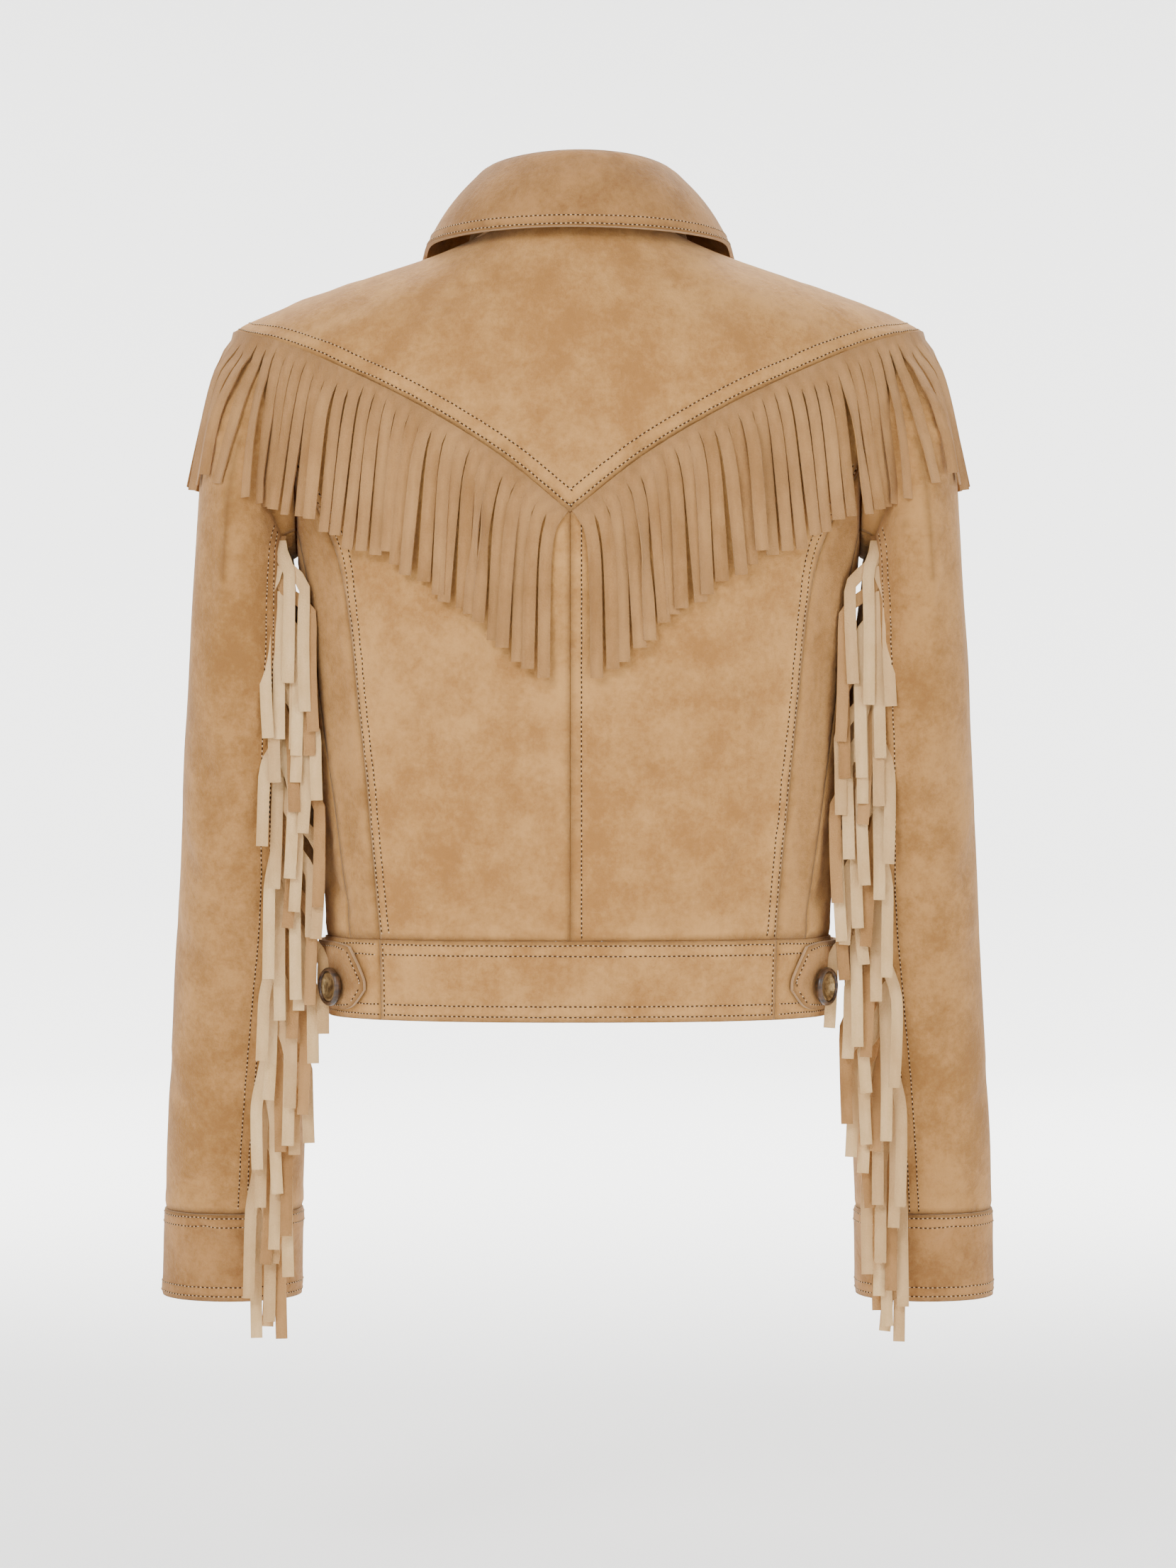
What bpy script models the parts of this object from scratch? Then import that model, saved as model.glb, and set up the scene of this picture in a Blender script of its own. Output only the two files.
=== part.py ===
"""Cropped suede jacket with a pointed yoke and cut fringe, worn open-hollow on no wearer.

Front faces -Y, back faces +Y, wearer's left is +X. The origin is the middle of the neck, at the
height where the shoulder seams meet the collar. Sizes below are millimetres, meshes are metres.
"""
import math

import bmesh
import bpy
from mathutils import Vector
from mathutils.bvhtree import BVHTree

MM = 0.001
SEAM_GAP = 0.3           # clear space between neighbouring pieces
WALL = 1.3               # suede of the body and sleeves
DOUBLE = 2.4             # folded double suede of bands, collar and tabs
YOKE_LIFT = 0.7          # how far the yoke's face stands over the back
FRINGE_WIDE = 7.0        # width of one cut strand
FRINGE_THICK = 0.9
STRIP_TALL = 6.0         # uncut root of the fringe, below its seam
BUTTON_R = 11.5
FRONT_BUTTON_R = 9.0
BUTTON_THICK = 5.0

CENTRE_SEAM_X = 4.5      # the back seam hangs a little to the wearer's left
SHOULDER_TIP_X = 214.0
PLACKET_HALF = 15.0
WAIST_T = 11.0           # section where the waistband starts
HEM_T = 12.0
ARM_MID_Z = -121.0
ARM_HALF_TALL = 71.0
ARM_HALF_DEEP = 56.0

# Sections of the body from neck to hem.
# half_width, back_depth, front_depth, z_back, z_side, z_front, roundness
BODY = (
    (70.0, 60.0, 72.0, 14.0, 0.0, -62.0, 2.00),
    (105.0, 76.0, 90.0, -8.0, -11.0, -72.0, 1.90),
    (150.0, 88.0, 100.0, -28.0, -25.0, -85.0, 1.78),
    (195.0, 96.0, 108.0, -54.0, -41.0, -100.0, 1.72),
    (214.0, 101.0, 112.0, -72.0, -51.0, -112.0, 1.76),
    (211.0, 105.5, 117.0, -104.0, -84.0, -134.0, 1.92),
    (197.0, 109.0, 122.0, -148.0, -130.0, -164.0, 2.10),
    (174.0, 108.5, 124.0, -198.0, -192.0, -203.0, 2.25),
    (169.5, 106.5, 122.0, -240.0, -238.0, -241.0, 2.30),
    (163.5, 103.0, 116.0, -304.0, -304.0, -304.0, 2.35),
    (158.5, 99.5, 107.0, -380.0, -380.0, -380.0, 2.40),
    (157.0, 98.5, 103.0, -425.5, -425.5, -425.5, 2.40),
    (155.5, 97.5, 100.0, -474.0, -474.0, -474.0, 2.40),
)

# Height of the yoke seam, from the point at the centre (0) to the shoulder tip (1).
# share_of_width, z
YOKE_SEAM = (
    (0.0, -171.5), (0.131, -148.0), (0.255, -128.5), (0.380, -112.4), (0.504, -98.0),
    (0.632, -84.0), (0.759, -71.0), (0.828, -64.0), (0.914, -57.5), (1.0, -51.0),
)

# Seams that run down the back, z and x from the armhole to the waistband.
SIDE_BACK_SEAM = ((-140.0, 172.0), (-172.0, 151.0), (-196.0, 141.0), (-277.0, 133.0),
                  (-345.0, 126.0), (-425.5, 119.0))
SIDE_SEAM = ((-177.0, 169.0), (-216.0, 163.0), (-285.0, 157.0), (-322.0, 151.0),
             (-374.0, 144.0), (-425.5, 138.0))

# Sections of the left sleeve, from just below the armhole to the wrist.
# outer_x, outer_z, inner_x, inner_z, centre_y, half_depth, roundness
SLEEVE = (
    (221.0, -66.0, 176.6, -193.8, 0.0, 59.0, 2.05),
    (227.0, -88.0, 176.9, -196.5, 1.0, 62.0, 2.10),
    (231.5, -112.0, 177.0, -200.0, 2.0, 64.5, 2.15),
    (235.5, -142.0, 176.8, -205.0, 2.0, 66.0, 2.20),
    (238.0, -182.0, 176.4, -213.0, 2.0, 66.0, 2.20),
    (241.0, -226.0, 175.0, -232.0, 1.0, 65.0, 2.20),
    (244.0, -282.0, 171.5, -282.0, -1.0, 62.5, 2.20),
    (247.3, -345.0, 166.8, -345.0, -6.0, 58.5, 2.20),
    (250.0, -405.0, 163.2, -405.0, -12.0, 55.0, 2.15),
    (254.0, -460.0, 165.0, -460.0, -19.0, 52.0, 2.10),
    (258.0, -520.0, 168.5, -520.0, -27.0, 48.5, 2.10),
    (260.5, -565.0, 171.5, -565.0, -34.0, 45.5, 2.10),
    (261.6, -599.0, 173.2, -599.0, -38.0, 43.5, 2.10),
    (262.4, -627.0, 174.0, -627.0, -41.0, 42.5, 2.10),
    (263.0, -654.0, 174.4, -654.0, -43.0, 42.0, 2.10),
    (263.0, -740.0, 174.4, -740.0, -50.0, 42.0, 2.10),
)
CUFF_TOP_K = 13.0
CUFF_HEM_K = 15.0

# Turns round the armhole where the sewn edges of body and sleeve share their points.
BACK_STEPS = (0.0, 27.0, 54.0, 80.0, 105.0)
SIDE_STEPS = (105.0, 124.0, 142.0)
UNDER_STEPS = (142.0, 161.0, 180.0)
FRONT_STEPS = (180.0, 202.5, 225.0, 247.5, 270.0, 292.5, 315.0, 337.5, 360.0)
ARM_STEPS = BACK_STEPS + SIDE_STEPS[1:] + UNDER_STEPS[1:] + FRONT_STEPS[1:]
HIND_COLUMN = 6          # column of ARM_STEPS on the hind-arm seam
FORE_COLUMN = 10         # column on the hidden fore-arm seam
COLUMNS = 16


def smooth(low, high, value):
    share = min(max((value - low) / (high - low), 0.0), 1.0)
    return share * share * (3.0 - 2.0 * share)


def along(table, place):
    """Row of a table at a fractional place, on a smooth curve through its rows."""
    last = len(table) - 1
    place = min(max(place, 0.0), float(last))
    i = min(int(place), last - 1)
    f = place - i
    rows = [table[min(max(i + d, 0), last)] for d in (-1, 0, 1, 2)]
    out = []
    for a, b, c, d in zip(*rows):
        out.append(0.5 * (2 * b + (c - a) * f + (2 * a - 5 * b + 4 * c - d) * f * f
                          + (3 * b - a - 3 * c + d) * f ** 3))
    return out


def read(table, value):
    """Second column of a table at a value of its first, in straight steps."""
    rows = table if table[0][0] < table[-1][0] else table[::-1]
    if value <= rows[0][0]:
        return rows[0][1]
    for (a, fa), (b, fb) in zip(rows, rows[1:]):
        if value <= b:
            return fa + (fb - fa) * (value - a) / (b - a)
    return rows[-1][1]


def power(value, p):
    return math.copysign(abs(value) ** p, value)


def body(turn, t):
    """Point of the body at a turn (0 centre back, 90 wearer's left, 180 front) and a section."""
    wide, back, front, zb, zs, zf, n = along(BODY, t)
    s = math.sin(math.radians(turn))
    c = math.cos(math.radians(turn))
    x = wide * power(s, 2.0 / n)
    y = (back if c > 0 else front) * power(c, 2.0 / n)
    z = zs + ((zb if c > 0 else zf) - zs) * c * c
    return Vector((x, y, z))


def surface_normal(point, u, v, du, dv):
    a = point(u + du, v) - point(u - du, v)
    b = point(u, v + dv) - point(u, v - dv)
    return a.cross(b).normalized()


def body_normal(turn, t):
    eased = turn
    for corner in (-90.0, 90.0):
        if abs(turn - corner) < 1.0:
            eased = corner + (1.0 if turn >= corner else -1.0)
    n = surface_normal(body, eased, max(t, 0.05), 0.9, 0.05)
    p = body(turn, t)
    out = Vector((p.x, p.y, 0.0))
    if t < 4.2:
        out.z = 120.0
    return n if n.dot(out) > 0 else -n


def turn_at_x(x, t):
    wide, n = along(BODY, t)[0], along(BODY, t)[6]
    share = min(abs(x) / wide, 1.0)
    return math.copysign(math.degrees(math.asin(min(share ** (n / 2.0), 1.0))), x)


def solve(low, high, test):
    for _ in range(46):
        mid = 0.5 * (low + high)
        if test(mid) > 0:
            low = mid
        else:
            high = mid
    return 0.5 * (low + high)


def yoke_seam_z(x, front):
    if front:
        share = abs(x) / SHOULDER_TIP_X
        return read(YOKE_SEAM, share) - 16.0 * (1.0 - share) ** 2
    if x > CENTRE_SEAM_X:
        return read(YOKE_SEAM, (x - CENTRE_SEAM_X) / (SHOULDER_TIP_X - CENTRE_SEAM_X))
    return read(YOKE_SEAM, (CENTRE_SEAM_X - x) / (SHOULDER_TIP_X + CENTRE_SEAM_X))


def yoke_t(turn):
    """Section at which the yoke seam crosses a turn of the body."""
    front = abs(turn) > 90.0

    def above(t):
        p = body(turn, t)
        return p.z - yoke_seam_z(p.x, front)
    if abs(abs(turn) - 90.0) < 1e-6:
        return 4.0
    return solve(0.0, 8.0, above)


def arm_edge(step):
    """Turn and section of the body on the armhole's edge, a step of degrees round it."""
    if step in (0.0, 360.0):
        return 90.0, 4.0
    if step == 180.0:
        return 90.0, 7.0
    y = ARM_HALF_DEEP * math.sin(math.radians(step))
    z = ARM_MID_Z + ARM_HALF_TALL * math.cos(math.radians(step))
    turn, t = (80.0 if y > 0 else 100.0), 5.5
    for _ in range(60):
        t = solve(3.6, 7.6, lambda s: body(turn, s).z - z)
        if y > 0:
            turn = solve(20.0, 90.0, lambda a: body(a, t).y - y)
        else:
            turn = solve(90.0, 160.0, lambda a: body(a, t).y - y)
    return turn, t


def t_at_z(turn, z):
    return solve(0.0, HEM_T, lambda s: body(turn, s).z - z)


def seam_path(table, start, rows):
    """Turns and sections down a back seam, from its start on the armhole to the waistband."""
    path = [start]
    z0 = body(*start).z
    for j in range(1, rows + 1):
        z = z0 + (table[-1][0] - z0) * j / rows
        x = read(table, z)
        t = 9.0
        for _ in range(30):
            t = t_at_z(turn_at_x(x, t), z)
        path.append((turn_at_x(x, t), t))
    path[-1] = (turn_at_x(table[-1][1], WAIST_T), WAIST_T)
    return path


def lerp2(a, b, f):
    return (a[0] + (b[0] - a[0]) * f, a[1] + (b[1] - a[1]) * f)


def coons(top, bottom, left, right):
    """Grid between four edges that share their corners; rows run down."""
    rows, columns = len(left) - 1, len(top) - 1
    grid = []
    for j in range(rows + 1):
        v = j / rows
        row = []
        for i in range(columns + 1):
            u = i / columns
            point = []
            for axis in (0, 1):
                value = (1 - v) * top[i][axis] + v * bottom[i][axis]
                value += (1 - u) * left[j][axis] + u * right[j][axis]
                value -= ((1 - u) * (1 - v) * top[0][axis] + u * (1 - v) * top[-1][axis]
                          + (1 - u) * v * bottom[0][axis] + u * v * bottom[-1][axis])
                point.append(value)
            row.append(tuple(point))
        grid.append(row)
    return grid


def mirrored(grid):
    return [[(-turn, t) for turn, t in row] for row in grid]


def suede(name, colour, roughness=0.92, metallic=0.0):
    mat = bpy.data.materials.new(name + "_suede" if metallic == 0.0 else name + "_metal")
    mat.use_nodes = True
    shader = mat.node_tree.nodes["Principled BSDF"]
    shader.inputs["Base Color"].default_value = (*colour, 1.0)
    shader.inputs["Roughness"].default_value = roughness
    shader.inputs["Metallic"].default_value = metallic
    return mat


TAN = (0.51, 0.33, 0.185)
TAN_SLEEVE = (0.46, 0.29, 0.16)
TAN_DARK = (0.42, 0.26, 0.14)
FRINGE_TAN = (0.53, 0.37, 0.22)
HORN = (0.045, 0.022, 0.012)


def add_solid(name, points, faces, mat):
    """Make one object from points in millimetres."""
    mesh = bpy.data.meshes.new(name)
    mesh.from_pydata([tuple(p * MM) for p in points], [], faces)
    mesh.update()
    mesh.materials.append(mat)
    thing = bpy.data.objects.new(name, mesh)
    bpy.context.scene.collection.objects.link(thing)
    return thing


def halves(cell, face):
    """Two triangles across a quad's shorter diagonal, so both faces of a wall bend alike."""
    if len(cell) == 3:
        return [cell]
    a, b, c, d = cell
    if (face[a] - face[c]).length <= (face[b] - face[d]).length:
        return [[a, b, c], [a, c, d]]
    return [[a, b, d], [b, c, d]]


def panel(name, grids, point, normal, wall, mat, lift=0.0, around=0.0, inset=SEAM_GAP / 2):
    """Cloth wall over one or more grids of (u, v); its free edges draw back by the inset."""
    index, places = {}, []
    cells = []
    for grid in grids:
        for top, low in zip(grid, grid[1:]):
            for i in range(len(top) - 1):
                cell = []
                for u, v in (top[i], low[i], low[i + 1], top[i + 1]):
                    key = (round(u % around if around else u, 3), round(v, 4))
                    if key not in index:
                        index[key] = len(places)
                        places.append((u, v))
                    if index[key] not in cell:
                        cell.append(index[key])
                if len(cell) > 2:
                    cells.append(cell)
    normals = [normal(u, v) for u, v in places]
    face = [point(u, v) + n * lift for (u, v), n in zip(places, normals)]
    for cell in cells:
        a, b, c = face[cell[0]], face[cell[1]], face[cell[2]]
        if (b - a).cross(c - a).dot(normals[cell[0]]) < 0:
            cell.reverse()
    cells = [part for cell in cells for part in halves(cell, face)]
    directed = {(cell[i - 1], cell[i]) for cell in cells for i in range(len(cell))}
    rim = sorted((a, b) for a, b in directed if (b, a) not in directed)
    inward = {}
    for a, b in rim:
        side = normals[a].cross(face[b] - face[a]).normalized()
        for k in (a, b):
            inward[k] = inward.get(k, Vector()) + side
    for k, side in inward.items():
        face[k] = face[k] + side.normalized() * inset / max(side.length / 2, 0.5)
    count = len(face)
    points = face + [p - n * wall for p, n in zip(face, normals)]
    faces = [tuple(cell) for cell in cells]
    faces += [tuple(k + count for k in reversed(cell)) for cell in cells]
    faces += [(b, a, a + count, b + count) for a, b in rim]
    return add_solid(name, points, faces, mat)


def edge_normal(turn, t):
    """Body normal, the mean of both sides on the shoulder and side lines."""
    if abs(abs(turn) - 90.0) < 0.5:
        side = math.copysign(90.0, turn)
        return (body_normal(side - 2.0, t) + body_normal(side + 2.0, t)).normalized()
    return body_normal(turn, t)


def make_body():
    """Yokes, back and fronts, each cut between its seams."""
    yoke_turns = [0.0] + [turn_at_x(CENTRE_SEAM_X, 6.5)]
    tops = {1: [], -1: []}
    for side in (1, -1):
        start = turn_at_x(CENTRE_SEAM_X, yoke_t(1.0))
        for i in range(7):
            share = i / 6.0
            tops[side].append(start + (side * 90.0 - start) * share ** 1.15)
    columns = sorted(set(tops[1] + tops[-1]))
    grid = [[(turn, yoke_t(turn) * j / 4.0) for turn in columns] for j in range(5)]
    panel("back_yoke", [grid], body, edge_normal, WALL + YOKE_LIFT, suede("back_yoke", TAN),
          lift=YOKE_LIFT)

    arm = [arm_edge(step) for step in ARM_STEPS]
    rows = 6
    side_back = seam_path(SIDE_BACK_SEAM, arm[4], rows)
    side_seam = seam_path(SIDE_SEAM, arm[6], rows)
    under = [lerp2(arm[8], (90.0, WAIST_T), j / rows) for j in range(rows + 1)]

    for side, label in ((1, "left"), (-1, "right")):
        seam_top = [(turn, yoke_t(turn)) for turn in tops[side]]
        outer = [(side * a, t) for a, t in arm[:4] + side_back]
        steps = len(outer) - 1
        inner = []
        for j in range(steps + 1):
            t = seam_top[0][1] + (WAIST_T - seam_top[0][1]) * j / steps
            inner.append((turn_at_x(CENTRE_SEAM_X, t), t))
        inner[0] = seam_top[0]
        low = [lerp2(inner[-1], outer[-1], i / 6.0) for i in range(7)]
        panel("back_centre_" + label, [coons(seam_top, low, inner, outer)], body, edge_normal,
              WALL, suede("back_centre_" + label, TAN))

        top = arm[4:7]
        low = [lerp2(side_back[-1], side_seam[-1], i / 2.0) for i in range(3)]
        grid = coons(top, low, side_back, side_seam)
        panel("back_side_" + label, [grid if side > 0 else mirrored(grid)], body, edge_normal,
              WALL, suede("back_side_" + label, TAN))

        low = [lerp2(side_seam[-1], under[-1], i / 2.0) for i in range(3)]
        strip = coons(arm[6:9], low, side_seam, under)
        edge = [arm[k] for k in range(16, 7, -1)] + under[1:]
        steps = len(edge) - 1
        first = 2.5
        for _ in range(30):
            first = yoke_t(180.0 - turn_at_x(PLACKET_HALF, first))
        inner = []
        for j in range(steps + 1):
            t = first + (WAIST_T - first) * j / steps
            inner.append((180.0 - turn_at_x(PLACKET_HALF, t), t))
        seam_turns = [inner[0][0] + (90.0 - inner[0][0]) * (i / 6.0) ** 1.1 for i in range(7)]
        seam_top = [(turn, yoke_t(turn)) for turn in seam_turns]
        inner[0] = seam_top[0]
        low = [lerp2(inner[-1], edge[-1], i / 6.0) for i in range(7)]
        main = coons(seam_top, low, inner, edge)
        yoke = []
        for j in range(5):
            shift = turn_at_x(PLACKET_HALF, first) - turn_at_x(PLACKET_HALF, first * j / 4.0)
            yoke.append([(turn + shift * (1.0 - k / 6.0) ** 3, t * j / 4.0)
                         for k, (turn, t) in enumerate(seam_top)])
        pieces = [("front_", [main, strip], WALL, 0.0), ("front_yoke_", [yoke], WALL + YOKE_LIFT,
                                                         YOKE_LIFT)]
        for stem, grids, wall, lift in pieces:
            shown = grids if side > 0 else [mirrored(g) for g in grids]
            panel(stem + label, shown, body, edge_normal, wall, suede(stem + label, TAN),
                  lift=lift)


def hind_angle(z):
    return read(((-600.0, 112.6), (-507.0, 115.0), (-345.0, 125.0), (-233.0, 138.0),
                 (-192.0, 142.0)), z)


def ring_angle(column, z):
    """Degrees round a sleeve section, 0 outer, 90 back, for a column of the armhole."""
    column = column % COLUMNS
    low = int(column)
    step = ARM_STEPS[low] + (ARM_STEPS[low + 1] - ARM_STEPS[low]) * (column - low)
    hind = hind_angle(z)
    knots = ((0.0, 0.0), (142.0, hind), (225.0, 225.0 + 0.3 * (hind - 142.0)), (360.0, 360.0))
    return read(knots, step)


ARM_POINTS = []


def armhole(column):
    if not ARM_POINTS:
        for step in ARM_STEPS:
            ARM_POINTS.append(body(*arm_edge(step)) + Vector((SEAM_GAP / 2, 0.0, 0.0)))
    column = column % COLUMNS
    low = int(column)
    return ARM_POINTS[low].lerp(ARM_POINTS[low + 1], column - low)


def sleeve(column, k):
    """Point of the left sleeve: a column round it and a place down it, 0 at the armhole."""
    if k < 1.0:
        return armhole(column).lerp(sleeve(column, 1.0), max(k, 0.0))
    ox, oz, ix, iz, yc, deep, n = along(SLEEVE, k - 1.0)
    centre = Vector(((ox + ix) / 2, yc, (oz + iz) / 2))
    reach = Vector(((ox - ix) / 2, 0.0, (oz - iz) / 2))
    angle = math.radians(ring_angle(column, centre.z))
    across = power(math.cos(angle), 2.0 / n)
    return centre + reach * across + Vector((0.0, deep * power(math.sin(angle), 2.0 / n), 0.0))


def sleeve_normal(column, k):
    k = max(k, 0.2)
    n = surface_normal(sleeve, column, k, 0.2, 0.15)
    ox, oz, ix, iz, yc = along(SLEEVE, max(k - 1.0, 0.0))[:5]
    out = sleeve(column, k) - Vector(((ox + ix) / 2, yc, (oz + iz) / 2))
    return n if n.dot(out) > 0 else -n


def mirror_x(function):
    def other(u, v):
        p = function(u, v)
        return Vector((-p.x, p.y, p.z))
    return other


def make_sleeves():
    rows = [0.0] + [float(k) for k in range(1, 14)]
    for side, label in ((1, "left"), (-1, "right")):
        point = sleeve if side > 0 else mirror_x(sleeve)
        normal = sleeve_normal if side > 0 else mirror_x(sleeve_normal)
        lower = [[(float(c), k) for c in range(HIND_COLUMN, FORE_COLUMN + 1)] for k in rows]
        upper = [[(float(c), k) for c in range(FORE_COLUMN, COLUMNS + HIND_COLUMN + 1)]
                 for k in rows]
        panel("sleeve_under_" + label, [lower], point, normal, WALL,
              suede("sleeve_under_" + label, TAN_SLEEVE), around=float(COLUMNS))
        panel("sleeve_upper_" + label, [upper], point, normal, WALL,
              suede("sleeve_upper_" + label, TAN_SLEEVE), around=float(COLUMNS))
        band = [[(float(c), k) for c in range(COLUMNS + 1)]
                for k in (CUFF_TOP_K, (CUFF_TOP_K + CUFF_HEM_K) / 2, CUFF_HEM_K)]
        panel("cuff_" + label, [band], point, normal, DOUBLE,
              suede("cuff_" + label, TAN_SLEEVE), lift=1.0, around=float(COLUMNS))


def roll_line(turn):
    """Fold at the top of the collar."""
    s, c = math.sin(math.radians(turn)), math.cos(math.radians(turn))
    z = 47.0 + (3.0 if c > 0 else -79.0) * c * c
    return Vector((54.0 * s, (54.0 if c > 0 else 60.0) * c, z))


def stand(turn, v):
    low = body(turn, 0.0) + Vector((0.0, 0.0, 1.9))
    return low.lerp(roll_line(turn), v)


def fall_edge(turn):
    s, c = math.sin(math.radians(turn)), math.cos(math.radians(turn))
    rear = Vector((95.0 * s, 83.0 * c, 2.0))
    share = smooth(80.0, 150.0, abs(turn))
    if share == 0.0:
        return rear
    at = math.copysign(90.0 + (abs(turn) - 90.0) * 0.82, turn)
    t = 0.9 + 1.0 * share
    return rear.lerp(body(at, t) + body_normal(at, t) * 6.0, share)


def fall(turn, v):
    """Turned-down leaf of the collar, from just inside its fold (0) to its edge (1)."""
    top = roll_line(turn)
    out = Vector((top.x, top.y, 0.0)).normalized()
    start = top + out * 7.0
    if v < 0.3:
        rise = ((1.0, 1.5), (3.6, 2.6), (7.0, 0.0))
        f = v / 0.15
        i = min(int(f), 1)
        o, u = lerp2(rise[i], rise[i + 1], f - i)
        return top + out * o + Vector((0.0, 0.0, u))
    f = (v - 0.3) / 0.7
    bulge = 4.0 * f * (1.0 - f)
    return start.lerp(fall_edge(turn), f) + out * 3.0 * bulge + Vector((0.0, 0.0, 2.5 * bulge))


def outward(point, du, dv, low_v, high_v):
    def normal(u, v):
        v = min(max(v, low_v), high_v)
        n = surface_normal(point, u, v, du, dv)
        p = point(u, v)
        return n if n.dot(Vector((p.x, p.y, 60.0))) > 0 else -n
    return normal


def make_collar():
    turns = [-176.0 + 352.0 * i / 22.0 for i in range(23)]
    panel("collar_stand", [[[(a, v) for a in turns] for v in (0.0, 0.5, 1.0)]], stand,
          outward(stand, 1.0, 0.05, 0.05, 0.95), DOUBLE, suede("collar_stand", TAN_DARK))
    turns = [-168.0 + 336.0 * i / 24.0 for i in range(25)]
    rows = (0.0, 0.15, 0.3, 0.52, 0.76, 1.0)
    panel("collar_fall", [[[(a, v) for a in turns] for v in rows]], fall,
          outward(fall, 1.0, 0.03, 0.04, 0.96), DOUBLE, suede("collar_fall", TAN_DARK))


def make_bands():
    """Waistband in three lengths, the front placket and a shaped tab at each side."""
    lift = 0.9
    reach = turn_at_x(SIDE_BACK_SEAM[-1][1], WAIST_T)
    rows = (WAIST_T, (WAIST_T + HEM_T) / 2, HEM_T)
    grid = [[(-reach + 2 * reach * i / 12.0, t) for i in range(13)] for t in rows]
    panel("waistband_back", [grid], body, edge_normal, DOUBLE, suede("waistband_back", TAN),
          lift=lift)
    grid = []
    for t in rows:
        far = 180.0 - turn_at_x(PLACKET_HALF, t)
        grid.append([(reach + (far - reach) * i / 10.0, t) for i in range(11)])
    for label, shown in (("left", grid), ("right", mirrored(grid))):
        panel("waistband_front_" + label, [shown], body, edge_normal, DOUBLE,
              suede("waistband_front_" + label, TAN), lift=lift)
    grid = []
    for j in range(13):
        half = turn_at_x(PLACKET_HALF, float(j))
        grid.append([(180.0 - half, float(j)), (180.0, float(j)), (180.0 + half, float(j))])
    panel("placket", [grid], body, edge_normal, DOUBLE, suede("placket", TAN), lift=lift)

    def at(turn, z):
        return turn, WAIST_T + (-425.5 - z) / 48.5
    tip = turn_at_x(127.0, 11.5)
    shoulder = turn_at_x(135.5, 11.5)
    shape = [(116.0 - (116.0 - shoulder) * i / 8.0, -427.5, -466.5) for i in range(8)]
    shape += [(shoulder, -430.0, -465.0), ((shoulder + tip) / 2, -438.0, -459.0),
              (tip, -447.0, -453.0)]
    grid = [[at(a, low + (high - low) * f) for a, high, low in shape] for f in (1.0, 0.5, 0.0)]
    for label, shown in (("left", grid), ("right", mirrored(grid))):
        panel("side_tab_" + label, [shown], body, edge_normal, DOUBLE,
              suede("side_tab_" + label, TAN_DARK), lift=lift + 0.8 + DOUBLE)


def make_button(name, seat, axis, radius):
    """Turned button: a rounded rim round a dished face, its back on the seat."""
    axis = axis.normalized()
    side = axis.cross(Vector((0.0, 0.0, 1.0))).normalized()
    other = axis.cross(side)
    profile = ((0.8, 0.0), (1.0, 0.45), (0.88, 1.0), (0.7, 0.72))
    sides = 14
    points = [seat.copy()]
    for r, h in profile:
        for i in range(sides):
            a = 2.0 * math.pi * i / sides
            points.append(seat + axis * h * BUTTON_THICK * radius / BUTTON_R
                          + (side * math.cos(a) + other * math.sin(a)) * r * radius)
    points.append(seat + axis * 0.62 * BUTTON_THICK * radius / BUTTON_R)
    last = len(points) - 1
    faces = []
    for i in range(sides):
        j = (i + 1) % sides
        faces.append((0, 1 + j, 1 + i))
        for ring in range(len(profile) - 1):
            a = 1 + ring * sides
            faces.append((a + i, a + j, a + sides + j, a + sides + i))
        a = 1 + (len(profile) - 1) * sides
        faces.append((a + i, a + j, last))
    thing = add_solid(name, points, faces, suede(name, HORN, 0.45, 0.35))
    turn_out(thing.data)
    return thing


def make_buttons():
    lift = 0.9 + SEAM_GAP
    for i, t in enumerate((1.6, 4.5, 6.8, 8.5, 9.9, 11.5)):
        n = edge_normal(180.0, t)
        seat = body(180.0, t) + n * (lift + (0.5 if i == 0 else 0.1))
        make_button("front_button_%d" % (i + 1), seat, n, FRONT_BUTTON_R)
    lift = 0.9 + 0.8 + DOUBLE + SEAM_GAP
    turn = turn_at_x(144.5, 11.5)
    for side, label in ((1, "left"), (-1, "right")):
        n = body_normal(side * turn, 11.54)
        n = Vector((n.x, n.y, 0.0)).normalized()
        make_button("tab_button_" + label, body(side * turn, 11.54) + n * (lift + 0.35), n,
                    BUTTON_R)


def form_tree(point, us, vs):
    """Search tree over a fine grid of a form, its faces turned outward."""
    points = [point(u, v) for v in vs for u in us]
    wide = len(us)
    faces = []
    for j in range(len(vs) - 1):
        for i in range(wide - 1):
            a = j * wide + i
            faces.append((a, a + wide, a + wide + 1, a + 1))
    return BVHTree.FromPolygons(points, faces)


def lift_off(p, trees, clear):
    """Move a point out of the forms until it stands clear of them."""
    toward = Vector((0.0, 0.0, 1.0))
    for tree, axis_x in trees:
        spot, n = tree.find_nearest(p)[:2]
        out = Vector((spot.x - axis_x, spot.y, 30.0 if spot.z > -60.0 else 0.0))
        if n.dot(out) < 0:
            n = -n
        height = (p - spot).dot(n)
        if height < clear:
            p = p + n * (clear - height)
            toward = n
        elif height < clear + 6.0 and toward.z == 1.0:
            toward = n
    return p, toward


def short_of(section, before, trees, clear):
    """How far a strand's section must move out for it and the stretch above to stand clear."""
    need = 0.0
    for now, last in zip(section, before):
        for share in (0.4, 0.7, 1.0):
            p = last.lerp(now, share)
            need = max(need, (lift_off(p, trees, clear)[0] - p).length / share)
    return need


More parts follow.
